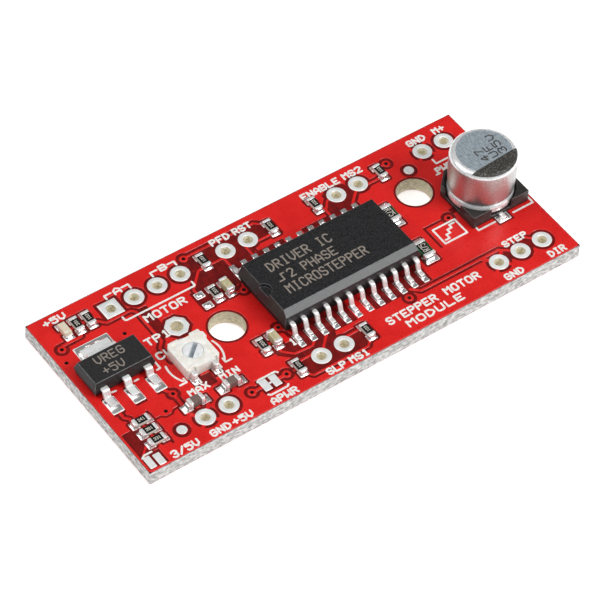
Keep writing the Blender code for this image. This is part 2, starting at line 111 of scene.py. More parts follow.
# glass epoxy where it was scored and snapped: pale, chalky, with grey streaks of torn fibre
makeFinish("snappedLaminate", "#DEDCDA", "#8F8C8A", relief=0.02, rough=(0.6, 0.85), drift=(0.36, 0.66),
           stretch=(0.7, 0.7, 1.2))
# glass epoxy where it was drilled: straw coloured, streaked by the drill
makeFinish("drilledLaminate", "#E2DAC4", "#A39778", grain=0.12, relief=0.015, rough=(0.5, 0.8),
           stretch=(1, 1, 3.0))
# copper pads levelled with hot solder: frosty white metal with a faint crown
makeFinish("levelledTin", "#FFFFFF", "#EDF3F0", patch=0.5, grain=0.25, rough=(0.3, 0.42), metallic=0.25)
# plating inside a hole, dull and straw tinted by flux
makeFinish("holePlating", "#FFFAE6", "#C4B898", patch=0.22, grain=0.12, relief=0.01, rough=(0.45, 0.65))
# the plating inside a via, tented with mask; its dark brown is painted shade, standing for the dark deep in
# the narrow hole
makeFinish("viaPlatingPaintedShade", "#5E4A44", "#3C2522", patch=0.2, relief=0.004, rough=(0.4, 0.6))
# reflowed solder: bright and wet looking
makeFinish("reflowedSolder", "#FFFFFF", "#E8E8E6", patch=0.6, grain=0.7, relief=0.002, rough=(0.14, 0.24),
           metallic=0.9)
# tin plated copper alloy leads, satin from stamping
makeFinish("platedLead", "#FFFFFF", "#F1EFED", patch=0.5, grain=0.4, relief=0.0008, rough=(0.2, 0.32),
           metallic=0.4)
# black epoxy moulded in a sparked cavity: its top is matt charcoal with a fine sparkle of filler
makeFinish("mouldedEpoxy", "#2F2F31", "#0E0E0F", patch=0.17, grain=0.12, relief=0.006, rough=(0.5, 0.7),
           drift=(0.38, 0.66), sockets={"Specular IOR Level": 0.25})
# the same epoxy where the cavity is polished for draft: smoother, so it takes a grey sheen
makeFinish("polishedEpoxy", "#232629", "#1A1C1F", patch=0.2, grain=0.12, relief=0.001, rough=(0.28, 0.36))
makeFinish("regulatorEpoxy", "#2E2E2F", "#222223", patch=0.25, relief=0.004, rough=(0.42, 0.6),
           drift=(0.42, 0.62), sockets={"Specular IOR Level": 0.3})
# the moulded edges, painted pale as a thin highlight line along each rounded edge
makeFinish("epoxyPaintedEdgeHighlight", "#6C6E70", "#414345", grain=0.12, relief=0.002, rough=(0.3, 0.42))
# laser marking: the epoxy burnt to a warm grey
makeFinish("laserMark", "#9C9288", "#7F766D", patch=0.12, grain=0.06, relief=0.002, rough=(0.6, 0.75))
# screen printed ink: chalk white, slightly thick
makeFinish("legendInk", "#FBFBF8", "#E6E4DE")
# trimmer housing: off-white glass filled nylon with a soft mould skin
makeFinish("filledNylon", "#FFFDF8", "#F0EBE1", patch=0.7, grain=0.25, rough=(0.38, 0.55),
           sockets={"Subsurface Weight": 0.08, "Subsurface Scale": 0.0006})
# the floor of the rotor's slot: blue-grey and darker than the rotor, as painted shade in the slot
makeFinish("slotFloorPaintedShade", "#C4CDD4", "#A3ADB6", patch=0.4, grain=0.3, relief=0.001, rough=(0.3, 0.4),
           metallic=0.5)
makeFinish("rotorPlastic", "#F5F6F6", "#E3E6E8", patch=0.6, grain=0.2, rough=(0.3, 0.42))
# drawn aluminium can: satin, finely grained, soft enough to blur what it reflects
makeFinish("drawnAluminium", "#DAD8D7", "#BDBAB9", patch=0.13, grain=0.05, relief=0.004, rough=(0.34, 0.44),
           metallic=1.0)
# its crimped foot and rolled shoulder, painted near white and less metallic as painted highlights
makeFinish("aluminiumPaintedHighlight", "#FFFFFF", "#EEF0F1", patch=0.6, grain=0.4, relief=0.001,
           rough=(0.22, 0.32), metallic=0.45)
# the can's top: laminated film, grey with a woven shimmer
makeFinish("filmedTop", "#B4BFC6", "#8A96A0", patch=0.17, grain=0.12, relief=0.004, rough=(0.4, 0.55),
           metallic=0.3, stretch=(1, 0.45, 1))
# printed polarity segment and value: worn black ink that lets the film show in specks
makeFinish("canInk", "#302F2C", "#7C7870", patch=0.15, drift=(0.5, 0.72))
# capacitor base: black polyester; its brownish tint is a painted reflection of the red board
makeFinish("basePolyester", "#363232", "#262323", patch=0.5, grain=0.12, rough=(0.3, 0.44))
# its moulded edges, painted a little pale as an edge highlight
makeFinish("polyesterPaintedEdgeHighlight", "#7A7472", "#4A4544", grain=0.12, relief=0.002, rough=(0.28, 0.4))
# black glaze and white alumina of a chip resistor
makeFinish("resistorGlaze", "#151515", "#0B0B0C", patch=0.2, relief=0.002, rough=(0.4, 0.55),
           sockets={"Specular IOR Level": 0.25})
makeFinish("alumina", "#F1EFE8", "#DAD6CC", patch=0.2, grain=0.08, relief=0.004, rough=(0.5, 0.7))
makeFinish("codePrint", "#E2DED4", "#B4AEA2", patch=0.1, grain=0.06, relief=0.002, rough=(0.5, 0.6))
# green overcoat at the rim of the current sensing resistors
makeFinish("greenOvercoat", "#1F7A45", "#135A31", patch=0.2, rough=(0.35, 0.5))
# fired ceramic of the chip capacitors, tan and brown
makeFinish("tanCeramic", "#D2C8A2", "#B7AC86", grain=0.08, relief=0.004)
makeFinish("brownCeramic", "#84706A", "#68554E", patch=0.15, grain=0.08, relief=0.004)
# chip light: cream diffusing resin
makeFinish("creamLens", "#F3EADC", "#DDCFB2", patch=0.4, grain=0.15, rough=(0.25, 0.4),
           sockets={"Subsurface Weight": 0.15, "Subsurface Scale": 0.0006})
# sealed inner pieces
makeFinish("springBrass", "#D8B765", "#B8964A", relief=0.002, rough=(0.25, 0.4), metallic=1.0)
makeFinish("sealingRubber", "#262626", "#181818", relief=0.004, rough=(0.7, 0.85))
makeFinish("windingPaper", "#C4B694", "#9E9070", patch=0.4, relief=0.006, rough=(0.7, 0.85))
# the table: opal acrylic, plain and pale, with a little light coming up through it
makeFinish("opalAcrylic", "#FAFAFA", "#F7F7F7", patch=8.0, grain=0.6, relief=0.001, rough=(0.6, 0.7),
           sockets={"Emission Color": (1, 1, 1, 1), "Emission Strength": 0.45})
print("finishes made:", len(finish))


# shapes that every piece uses

def meshOf(shape, name):  # the shape as a mesh in metres
    bmesh.ops.scale(shape, vec=(mm, mm, mm), verts=shape.verts)
    mesh = bpy.data.meshes.new(name)
    shape.to_mesh(mesh)
    shape.free()
    return mesh


def addObject(name, data):
    item = bpy.data.objects.new(name, data)
    bpy.context.scene.collection.objects.link(item)
    return item


def finishPiece(shape, name, materials, replaced=(), body="board", smooth=None):
    mesh = meshOf(shape, name)
    for material in materials:
        mesh.materials.append(finish[material])
    if smooth is not None:
        mesh.shade_smooth()
        mesh.set_sharp_from_angle(angle=radians(smooth))
    piece = addObject(name, mesh)
    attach(piece, body)
    if replaced:
        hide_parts(*replaced)
    return piece


def finishLead(shape, name):
    finishPiece(shape, f"formed_{name}", ["platedLead"], [name], smooth=40)


def finishSolder(shape, name):
    finishPiece(shape, f"{name}_solder", ["reflowedSolder"], smooth=60)


def bakeModifiers(piece):  # the modifiers become mesh, so that the piece has nothing live on it
    bpy.context.view_layer.update()
    made = bpy.data.meshes.new_from_object(piece.evaluated_get(bpy.context.evaluated_depsgraph_get()))
    piece.modifiers.clear()
    piece.data = made


def outlineBox(x0, x1, y0, y1, corner=0.0):
    if not corner:
        return [(x0, y0), (x1, y0), (x1, y1), (x0, y1)]
    places = ((x1 - corner, y1 - corner, 0), (x0 + corner, y1 - corner, 90),
              (x0 + corner, y0 + corner, 180), (x1 - corner, y0 + corner, 270))
    return [point for x, y, start in places for point in penArc(x, y, corner, start, start + 90, 3)]


def outlineAround(x, y, halfX, halfY, corner=0.0):
    return outlineBox(x - halfX, x + halfX, y - halfY, y + halfY, corner)


def outlineCircle(x, y, radius, steps=32, turn=0.0):
    return penArc(x, y, radius, turn, turn + 360, steps)[:-1]


def penArc(x, y, radius, start, end, steps=10):
    angles = [radians(start + (end - start) * step / steps) for step in range(steps + 1)]
    return [(x + radius * cos(angle), y + radius * sin(angle)) for angle in angles]


def penLine(path, width, steps=5):  # a round-ended bar for each straight run of the line
    bars = []
    for (x0, y0), (x1, y1) in zip(path, path[1:]):
        heading = atan2(y1 - y0, x1 - x0)
        bars.append([
            (x + width / 2 * cos(heading + side + pi * step / steps),
             y + width / 2 * sin(heading + side + pi * step / steps))
            for x, y, side in ((x1, y1, -pi / 2), (x0, y0, pi / 2)) for step in range(steps + 1)
        ])
    return bars


def penLines(lines, wider=0.0):  # each line is its width, then its points
    return [bar for width, path in lines for bar in penLine(path, width + wider)]


def placed(outlines, x, y, turn=0.0):
    c, s = cos(radians(turn)), sin(radians(turn))
    return [[(x + c * px - s * py, y + s * px + c * py) for px, py in outline] for outline in outlines]


def facingUp(outline):
    area = sum(a[0] * b[1] - b[0] * a[1] for a, b in zip(outline, outline[1:] + outline[:1]))
    return outline if area > 0 else outline[::-1]


def flatArt(keep, cut=(), laid=(), holes=()):  # keep less cut, then laid on top of that, all less holes
    points, loops, kinds = [], [], []
    for kind, group in enumerate((keep, cut, laid, holes)):
        for outline in group:
            loops.append(list(range(len(points), len(points) + len(outline))))
            points += [Vector(point) for point in facingUp(outline)]
            kinds.append(kind)
    places, _, faces, _, _, sources = delaunay_2d_cdt(points, [], loops, 1, 1e-4)
    shape = bmesh.new()
    verts = [shape.verts.new((place.x, place.y, 0)) for place in places]
    for face, source in zip(faces, sources):
        inside = {kinds[index] for index in source}
        if 3 not in inside and (2 in inside or (0 in inside and 1 not in inside)):
            shape.faces.new([verts[index] for index in face])
    bmesh.ops.delete(shape, geom=[vert for vert in shape.verts if not vert.link_faces], context="VERTS")
    return shape


def raiseArt(shape, start, end, slope=0.0):  # the sheet becomes a closed layer, its rim sloping by slope
    made = bmesh.ops.extrude_face_region(shape, geom=shape.faces[:])["geom"]
    top = [part for part in made if isinstance(part, bmesh.types.BMFace)]
    rim = [part for part in made if isinstance(part, bmesh.types.BMVert)]
    lip = end if not slope else start + (end - start) * 0.25
    bmesh.ops.translate(shape, vec=(0, 0, start), verts=shape.verts)
    bmesh.ops.translate(shape, vec=(0, 0, lip - start), verts=rim)
    if slope:
        bmesh.ops.inset_region(shape, faces=top, thickness=slope, use_even_offset=False, use_boundary=True)
        crown = list({vert for face in top for vert in face.verts})
        bmesh.ops.translate(shape, vec=(0, 0, end - lip), verts=crown)
    bmesh.ops.recalc_face_normals(shape, faces=shape.faces)
    return shape


def setDown(shape, place, turn=0.0):  # the shape is turned about Z, then moved
    matrix = Matrix.Translation(place) @ Matrix.Rotation(radians(turn), 4, "Z")
    bmesh.ops.transform(shape, matrix=matrix, verts=shape.verts)
    return shape


def addShape(shape, other, place=(0, 0, 0), turn=0.0, material=None):  # other is joined to shape and freed
    setDown(other, place, turn)
    if material is not None:
        for face in other.faces:
            face.material_index = material
    carrier = bpy.data.meshes.new("carrier")
    other.to_mesh(carrier)
    other.free()
    shape.from_mesh(carrier)
    bpy.data.meshes.remove(carrier)


def spun(profile, steps=48, closed=False):  # radius and height pairs turned round the Z axis
    shape = bmesh.new()
    verts = [shape.verts.new((radius, 0, height)) for radius, height in profile]
    pairs = list(zip(verts, verts[1:])) + ([(verts[-1], verts[0])] if closed else [])
    edges = [shape.edges.new(pair) for pair in pairs]
    bmesh.ops.spin(
        shape, geom=verts + edges, cent=(0, 0, 0), axis=(0, 0, 1), angle=2 * pi, steps=steps, use_merge=True
    )
    bmesh.ops.remove_doubles(shape, verts=shape.verts, dist=1e-4)
    bmesh.ops.recalc_face_normals(shape, faces=shape.faces)
    return shape


def bevelled(shape, edges, width, segments):
    bmesh.ops.bevel(
        shape, geom=edges, offset=width, offset_type="OFFSET", segments=segments, profile=0.5,
        affect="EDGES", clamp_overlap=True, material=-1,
    )
    return shape


def softened(shape, width, segments=2, limit=30):  # edges sharper than limit get a small round
    bmesh.ops.remove_doubles(shape, verts=shape.verts, dist=1e-5)
    bmesh.ops.dissolve_limit(shape, angle_limit=radians(1), verts=shape.verts, edges=shape.edges)
    sharp = [edge for edge in shape.edges if edge.calc_face_angle(0) > radians(limit)]
    return bevelled(shape, sharp, width, segments)


def boxShape(x0, x1, y0, y1, z0, z1):
    shape = bmesh.new()
    bmesh.ops.create_cube(shape, size=1.0)
    bmesh.ops.scale(shape, vec=(x1 - x0, y1 - y0, z1 - z0), verts=shape.verts)
    bmesh.ops.translate(shape, vec=((x0 + x1) / 2, (y0 + y1) / 2, (z0 + z1) / 2), verts=shape.verts)
    return shape


def taperedBlock(levels):  # drafted block: each level is z, x0, x1, y0, y1
    shape = boxShape(*levels[0][1:], levels[0][0], levels[1][0])
    top = max(shape.faces, key=lambda face: face.calc_center_median().z)
    for index, (z, x0, x1, y0, y1) in enumerate(levels[1:]):
        if index:
            top = bmesh.ops.extrude_discrete_faces(shape, faces=[top])["faces"][0]
        middle = top.calc_center_median()
        for vert in top.verts:
            vert.co = (x1 if vert.co.x > middle.x else x0, y1 if vert.co.y > middle.y else y0, z)
    return shape


def spanOf(node):  # a CAD node's low and high sides on each axis, in millimetres
    low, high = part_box(node)
    return [(low[axis] / mm, high[axis] / mm) for axis in range(3)]


# a pen alphabet for the legend and the markings: each pair is x from 0 to 4, then y from 0 to 6

alphabet = {
    "A": "00 04 26 44 40,02 42", "B": "00 06 36 45 44 33 03,33 42 41 30 00", "C": "45 36 16 05 01 10 30 41",
    "D": "00 06 26 44 42 20 00", "E": "46 06 00 40,03 33", "F": "46 06 00,03 33",
    "G": "45 36 16 05 01 10 30 41 43 23", "H": "06 00,46 40,03 43", "I": "16 36,26 20,10 30",
    "K": "06 00,46 02,13 40", "L": "06 00 40", "M": "00 06 24 46 40", "N": "00 06 40 46",
    "O": "10 01 05 16 36 45 41 30 10", "P": "00 06 36 45 44 33 03", "R": "00 06 36 45 44 33 03,23 40",
    "S": "01 10 30 41 42 33 13 04 05 16 36 45", "T": "06 46,26 20", "U": "06 01 10 30 41 46",
    "V": "06 02 20 42 46", "W": "06 00 22 40 46", "X": "00 46,06 40", "Y": "06 23 46,23 20",
    "0": "10 01 05 16 36 45 41 30 10", "1": "15 26 20,10 30", "2": "05 16 36 45 44 00 40",
    "3": "05 16 36 45 44 33 42 41 30 10 01,23 33", "4": "30 36 02 42", "5": "46 06 04 34 43 41 30 10 01",
    "6": "45 36 16 05 01 10 30 41 42 33 03", "7": "06 46 10",
    "8": "13 04 05 16 36 45 44 33 13 02 01 10 30 41 42 33", "9": "43 13 04 05 16 36 45 41 30 10 01",
    "+": "03 43,25 21", "/": "00 46", " ": "",
}


def lettering(words, x0, x1, y0, y1, pen):  # the words' pen lines, filling the given box
    unitX = (x1 - x0) / (6 * len(words) - 2)
    unitY = (y1 - y0) / 6
    bars = []
    for index, letter in enumerate(words):
        for line in filter(None, alphabet[letter].split(",")):
            path = [(x0 + (6 * index + int(pair[0])) * unitX, y0 + int(pair[1]) * unitY)
                    for pair in line.split()]
            bars += penLine(path, pen)
    return bars


def letterings(marks, pen):  # each mark is its words and the box that they fill
    return [bar for words, *box in marks for bar in lettering(words, *box, pen)]


# the board: laminate, copper under mask, plated holes, pads and legend

board = {
    "copper": 0.035, "slope": 0.045, "edgePull": 0.05, "padCorner": 0.06, "padRadius": 0.95,
    "holeRadius": 0.5, "padGap": 0.3, "plating": 0.035, "wallLap": 0.02, "mountRadius": 1.75,
    "mountGap": 0.22, "testPad": 1.1, "testHole": 0.65, "testClear": 1.22, "viaHole": 0.22, "viaRing": 0.42,
    "viaGap": 0.32, "trackGap": 0.5, "spoke": 0.4, "targetDot": 0.52, "targetRing": 0.85, "legendPen": 0.2,
    "legendClear": 0.08, "edgeStep": 0.4, "edgeRagged": 0.05, "edgeLevels": (0.12, 0.3, 0.5, 0.72, 0.94),
    "edgeTouch": 0.01,
}
rearPads = [(-19.05 + gridStep * column, 7.62) for column in (1, 2, 3, 5, 6, 10, 11, 14, 15)]
frontPads = [(-19.05 + gridStep * column, -7.62) for column in (0, 1, 5, 6, 13, 14, 15)]
groundPads = [(16.51, 7.62), (-19.05, -7.62), (13.97, -7.62)]  # joined to the pour by four spokes
squarePad = (-19.05, 7.62)
testPoint = (-15.24, 2.54)
mountHoles = [(-11.43, 0.0), (12.7, 3.81)]
ringedVias = [
    (-25.4, 6.0), (-10.15, 8.95), (-19.95, -3.8), (-14.0, -7.6), (-10.2, -7.6), (4.4, -6.5), (12.65, 8.25),
    (13.4, -0.6), (-7.65, 2.75), (-7.65, -2.7),
]
pourVias = [(-25.9, 4.45), (-19.65, 4.45), (-21.6, -5.1)]
targets = [(-21.6, -7.65), (13.95, 6.35)]  # round camera targets, bare of mask

# each pair of pads: centre x and y, half length and half width of a pad, half their distance, their axis
chipPads = [
    (x, y, 0.4, 0.48, 0.72, "Y")
    for x, y in ((-24.04, 7.62), (-22.77, 7.62), (-21.5, 7.62), (-8.89, 7.62), (-1.27, 7.62), (3.81, 7.62),
                 (11.43, 7.62), (-8.89, -7.62), (-1.27, -7.62), (-10.16, 3.81), (-10.16, -3.81),
                 (-8.89, 3.75), (-8.89, -3.81), (-11.45, 3.72))
] + [(-24.13, y, 0.42, 0.46, 0.72, "X") for y in (-4.95, -6.22, -7.49)]
chipPads += [(x, -5.9, 0.5, 0.48, 0.95, "X") for x in (-18.95, -15.05)]
chipPads += [(8.95, y, 0.55, 0.75, 1.03, "Y") for y in (2.64, -2.7)]
roundPads = rearPads + frontPads
vias = ringedVias + pourVias


def padBoxes(group, grow=0.0):
    x, y, halfLong, halfWide, apart, along = group
    longer, wider, corner = halfLong + grow, halfWide + grow, board["padCorner"] + grow
    if along == "Y":
        return [outlineAround(x, y + side * apart, wider, longer, corner) for side in (-1, 1)]
    return [outlineAround(x + side * apart, y, longer, wider, corner) for side in (-1, 1)]


driverPads = [outlineBox(x - 0.3, x + 0.3, low, high, 0.08) for low, high in ((-5.85, -4.22), (3.65, 5.55))
              for x in (gridStep / 2 * (number - 5.5) for number in range(12))]
# regulator leads and tab, trimmer terminals, capacitor feet and solder jumpers: x0, x1, y0, y1, corner radius
otherPads = [outlineBox(*pad) for pad in (
    (-25.7, -24.5, -2.95, -1.0, 0.08), (-23.4, -22.2, -2.95, -1.0, 0.08), (-21.1, -19.9, -2.95, -1.0, 0.08),
    (-24.65, -20.95, 3.9, 5.45, 0.08),
    (-17.7, -17.0, -4.2, -3.0, 0.06), (-15.4, -14.7, -4.2, -3.0, 0.06), (-16.65, -15.75, 0.2, 1.15, 0.06),
    (17.0, 18.4, -3.88, -2.38, 0.08), (17.0, 18.4, 2.82, 4.32, 0.08),
    (-12.92, -12.15, -8.27, -6.93, 0.05), (-11.85, -11.1, -8.27, -6.93, 0.05), (-12.3, -11.7, -7.7, -7.5),
    (-26.32, -25.65, -9.8, -8.4, 0.05), (-25.4, -24.7, -9.9, -8.55, 0.05),
)]

bareAreas = [  # no copper here, so the laminate shows dark through the mask
    [(-11.05, 5.35), (-9.8, 6.8), (-4.75, 6.8), (-4.75, 5.6), (-7.2, 5.3), (-7.2, 3.9), (-7.9, 3.6),
     (-8.1, 2.55), (-12.15, 2.55), (-12.15, 5.1)],
    [(-10.6, 9.45), (-2.1, 9.45), (-1.3, 8.75), (-0.5, 8.75), (-0.5, 6.5), (-3.9, 6.6), (-4.1, 5.95),
     (-7.2, 5.95), (-9.4, 6.6), (-10.6, 7.6)],
    [(4.6, 5.8), (4.6, 6.8), (5.1, 7.4), (5.1, 8.3), (6.2, 8.9), (7.7, 8.5), (7.8, 6.9), (7.0, 6.1),
     (7.0, 5.8)],
    [(-9.65, -4.6), (-9.65, -5.4), (-8.6, -6.4), (-8.6, -8.9), (-8.1, -9.35), (-2.0, -9.35), (-1.2, -8.8),
     (-0.5, -8.8), (-0.5, -6.5), (-3.9, -6.6), (-3.6, -5.9), (-7.4, -5.9), (-7.4, -4.6)],
    [(14.7, -6.7), (17.6, -6.7), (18.3, -7.0), (18.3, -8.0), (14.8, -8.0)],
    [(-26.42, -5.2), (-25.1, -5.2), (-25.1, -8.1), (-24.5, -8.4), (-24.5, -8.7), (-26.42, -8.2)],
]
bareBoxes = [  # the same, as x0, x1, y0, y1 and, round some pads, the corner's radius
    (-17.05, -16.15, 2.0, 6.2), (-7.5, -1.05, 3.5, 5.95), (1.05, 7.55, 3.5, 5.95),
    (-7.5, -1.05, -5.95, -3.5), (1.05, 7.55, -5.95, -3.5), (-16.75, -15.8, -4.9, -3.5),
    (14.0, 15.4, -0.4, 0.25), (-17.9, -16.7, -4.4, -3.0), (-15.75, -14.6, -4.4, -3.0),
    (-7.6, -0.95, -4.2, -2.7), (0.95, 7.6, -4.2, -2.7), (-25.7, -24.5, -3.2, -0.8, 0.1),
    (-23.4, -22.2, -3.2, -0.8, 0.1), (-21.1, -19.9, -3.2, -0.8, 0.1), (-13.15, -10.87, -8.5, -6.7, 0.1),
    (-26.42, -24.45, -9.85, -8.2, 0.1), (16.8, 18.6, -4.05, -2.4, 0.1),
]
tracks = [  # copper tracks with a gap to either side: width, then the points
    (0.28, [(-20.9, 7.1), (-20.3, 6.45), (-17.7, 6.45), (-17.33, 6.05), (-17.33, 1.9), (-17.95, 1.25),
            (-17.95, -0.6)]),
    (0.3, [(-25.4, 6.0), (-25.05, 6.35), (-23.1, 6.35), (-22.77, 6.8)]),
    (0.25, [(-10.15, 8.95), (-9.9, 9.02), (-2.25, 9.02), (-1.4, 8.3)]),
    (0.25, [(-11.5, 4.5), (-11.5, 5.35), (-9.8, 7.02), (-7.0, 7.02), (-7.0, 5.6)]),
    (0.25, [(-4.5, 7.2), (-4.5, 5.6)]), (0.25, [(-3.3, 6.98), (-1.5, 6.98)]),
    (0.25, [(4.4, 5.7), (4.4, 6.9), (3.9, 7.0)]), (0.25, [(4.5, 6.7), (5.2, 7.5), (5.8, 7.62)]),
    (0.28, [(6.95, 5.6), (6.95, 5.85), (8.5, 7.3)]), (0.25, [(9.3, 7.1), (11.2, 7.1)]),
    (0.25, [(11.5, 8.3), (12.65, 8.25)]),
    (0.25, [(-9.05, -4.5), (-9.05, -5.2), (-8.2, -6.05), (-6.3, -6.2), (-5.75, -5.7)]),
    (0.28, [(-4.4, -5.7), (-5.6, -6.9), (-5.9, -7.2)]), (0.25, [(-8.7, -7.0), (-6.9, -7.0)]),
    (0.25, [(-3.3, -7.0), (-1.4, -7.0)]),
    (0.25, [(-8.8, -8.3), (-8.2, -9.05), (-2.1, -9.05), (-1.35, -8.3)]),
    (0.28, [(5.1, -5.7), (5.85, -6.38), (14.9, -6.38), (15.9, -7.2)]), (0.25, [(17.75, -6.4), (18.5, -7.1)]),
    (0.3, [(-25.1, -2.6), (-25.1, -3.65), (-24.75, -4.05), (-24.75, -4.8)]),
    (0.32, [(-20.5, -2.7), (-19.95, -3.8), (-19.95, -5.6)]),
    (0.25, [(-25.1, -7.45), (-25.4, -7.5), (-26.0, -8.1), (-26.0, -8.6)]),
    (0.34, [(-14.0, -7.6), (-12.6, -7.6)]), (0.34, [(-10.2, -7.6), (-11.4, -7.6)]),
    (0.28, [(-9.0, 3.1), (-8.2, 2.85), (-7.65, 2.75)]), (0.28, [(-8.9, -3.1), (-8.2, -2.8), (-7.65, -2.7)]),
    (0.25, [(-7.65, 2.75), (-7.2, 3.6), (-6.98, 4.2)]), (0.25, [(-7.65, -2.7), (-7.2, -3.5), (-6.98, -4.2)]),
]
gaps = [  # plain isolation lines: width, then the points
    (0.25, [(13.0, -0.45), (10.65, -0.45), (10.65, -3.15)]),
    (0.22, [(-23.2, -5.35), (-22.3, -5.35), (-21.95, -5.65), (-21.25, -5.65), (-20.9, -5.35),
            (-20.4, -5.3)]),
    (0.22, [(-3.9, 6.0), (-3.9, 6.35)]), (0.3, [(-23.0, -4.2), (-23.0, -8.3)]),
]
undersideTracks = [
    (0.3, [(-25.4, 6.0), (-21.0, 2.0), (-21.0, -3.0), (-19.95, -3.8)]),
    (0.3, [(-10.15, 8.95), (-5.0, 3.8), (-7.65, 2.75)]),
    (0.3, [(12.65, 8.25), (6.0, 1.6), (6.0, -4.9), (4.4, -6.5)]),
    (0.3, [(-14.0, -7.6), (-9.2, -2.9), (-7.65, -2.7)]),
    (0.3, [(-10.2, -7.6), (-3.0, -0.6), (3.0, -0.6), (8.6, 5.0), (13.2, 0.6), (13.4, -0.6)]),
    (0.9, [(-16.51, 7.62), (-16.51, 4.6), (-13.2, 1.4)]), (0.9, [(19.05, 7.62), (19.05, 0.0), (17.0, -2.0)]),
]


def testPad(grow=0.0):
    return outlineCircle(*testPoint, (board["testPad"] + grow) / cos(pi / 8), *octagon)


def drilledHoles():  # a little smaller than the plating's outer wall, which then covers the cut
    lap = board["wallLap"]
    holes = [outlineCircle(x, y, board["holeRadius"] - lap) for x, y in [*roundPads, squarePad]]
    holes += [outlineCircle(x, y, board["viaHole"], 12) for x, y in vias]
    return holes + [outlineCircle(*testPoint, board["testHole"] - lap)]


def copperArt(underside=False):
    gap, reach, pull = board["padGap"], board["padRadius"], board["edgePull"]
    pour = outlineAround(-artShift, 0, boardHalfX - pull, boardHalfY - pull, 0.3)
    clear = [outlineCircle(x, y, reach + gap) for x, y in roundPads]
    clear += [outlineAround(*squarePad, reach + gap, reach + gap, 0.2), testPad(gap)]
    clear += [outlineCircle(x, y, board["mountRadius"] + board["mountGap"], 48) for x, y in mountHoles]
    clear += [outlineCircle(x, y, board["viaRing"] + board["viaGap"]) for x, y in ringedVias]
    lines = undersideTracks if underside else tracks
    clear += penLines(lines, board["trackGap"])
    lands = [outlineCircle(x, y, reach) for x, y in roundPads]
    lands += [outlineAround(*squarePad, reach, reach), testPad()]
    lands += [outlineCircle(x, y, board["viaRing"], 24) for x, y in vias] + penLines(lines)
    lands += [bar for x, y in groundPads for turn in (45, -45)
              for bar in placed(penLine([(-1.5, 0), (1.5, 0)], board["spoke"]), x, y, turn)]
    if not underside:
        clear += bareAreas + [outlineBox(*area) for area in bareBoxes] + penLines(gaps)
        clear += [outlineCircle(x, y, board["targetRing"]) for x, y in targets]
        clear += [box for group in chipPads for box in padBoxes(group, 0.2)]
        lands += [box for group in chipPads for box in padBoxes(group)] + otherPads + driverPads
        lands += [outlineCircle(x, y, board["targetDot"]) for x, y in targets]
    return flatArt([pour], clear, lands, drilledHoles())


def insetFromEdge(x, y):
    return min(boardHalfX - abs(x), boardHalfY - abs(y))


def sideFaces(shape):
    return [face for face in shape.faces if insetFromEdge(*face.calc_center_median().xy) < board["edgeTouch"]]


def buildLaminate():
    corners = outlineBox(-boardHalfX, boardHalfX, -boardHalfY, boardHalfY)
    edge = []
    for (x0, y0), (x1, y1) in zip(corners, corners[1:] + corners[:1]):
        count = int((abs(x1 - x0) + abs(y1 - y0)) / board["edgeStep"])
        edge += [(x0 + (x1 - x0) * k / count, y0 + (y1 - y0) * k / count) for k in range(count)]
    holes = [outlineCircle(x, y, board["mountRadius"], 64) for x, y in mountHoles] + drilledHoles()
    low, high = board["copper"], boardTop - board["copper"]
    shape = raiseArt(flatArt([edge], holes=placed(holes, artShift, 0)), low, high)
    for level in board["edgeLevels"]:  # the sides are cut into bands, which the roughness below then moves
        sides = sideFaces(shape)
        geometry = sides + list({part for face in sides for part in (*face.edges, *face.verts)})
        middle = (0, 0, low + (high - low) * level)
        bmesh.ops.bisect_plane(shape, geom=geometry, plane_co=middle, plane_no=(0, 0, 1))
    for vert in shape.verts:  # snapped edges are ragged between the two score lines
        if insetFromEdge(*vert.co.xy) > board["edgeTouch"] or not low + 0.05 < vert.co.z < high - 0.05:
            continue
        rough = noise.noise(Vector((vert.co.x * 1.7, vert.co.y * 1.7, vert.co.z * 2.5)))
        rough += 0.5 * noise.noise(Vector((vert.co.x * 5, vert.co.y * 5, vert.co.z * 6)))
        axis = 1 if boardHalfY - abs(vert.co.y) < board["edgeTouch"] else 0
        vert.co[axis] += board["edgeRagged"] * rough * (1 if vert.co[axis] > 0 else -1)
    for face in shape.faces:
        face.normal_update()
        nearEdge = insetFromEdge(*face.calc_center_median().xy) < 0.2
        face.material_index = 0 if abs(face.normal.z) > 0.9 else 1 if nearEdge else 2
    finishPiece(shape, "circuit_board_laminate", ["maskOverLaminate", "snappedLaminate", "drilledLaminate"],
                ["pcb"])


def finishLayer(shape, name, material):
    finishPiece(setDown(shape, (artShift, 0, 0)), name, [material])


def buildCopper():
    thick = board["copper"]
    for name, start, end, under in (("copper_under_mask_top", boardTop - thick - 0.002, boardTop, False),
                                    ("copper_under_mask_underside", thick + 0.002, 0.0, True)):
        finishLayer(raiseArt(copperArt(under), start, end, board["slope"]), name, "maskOverCopper")


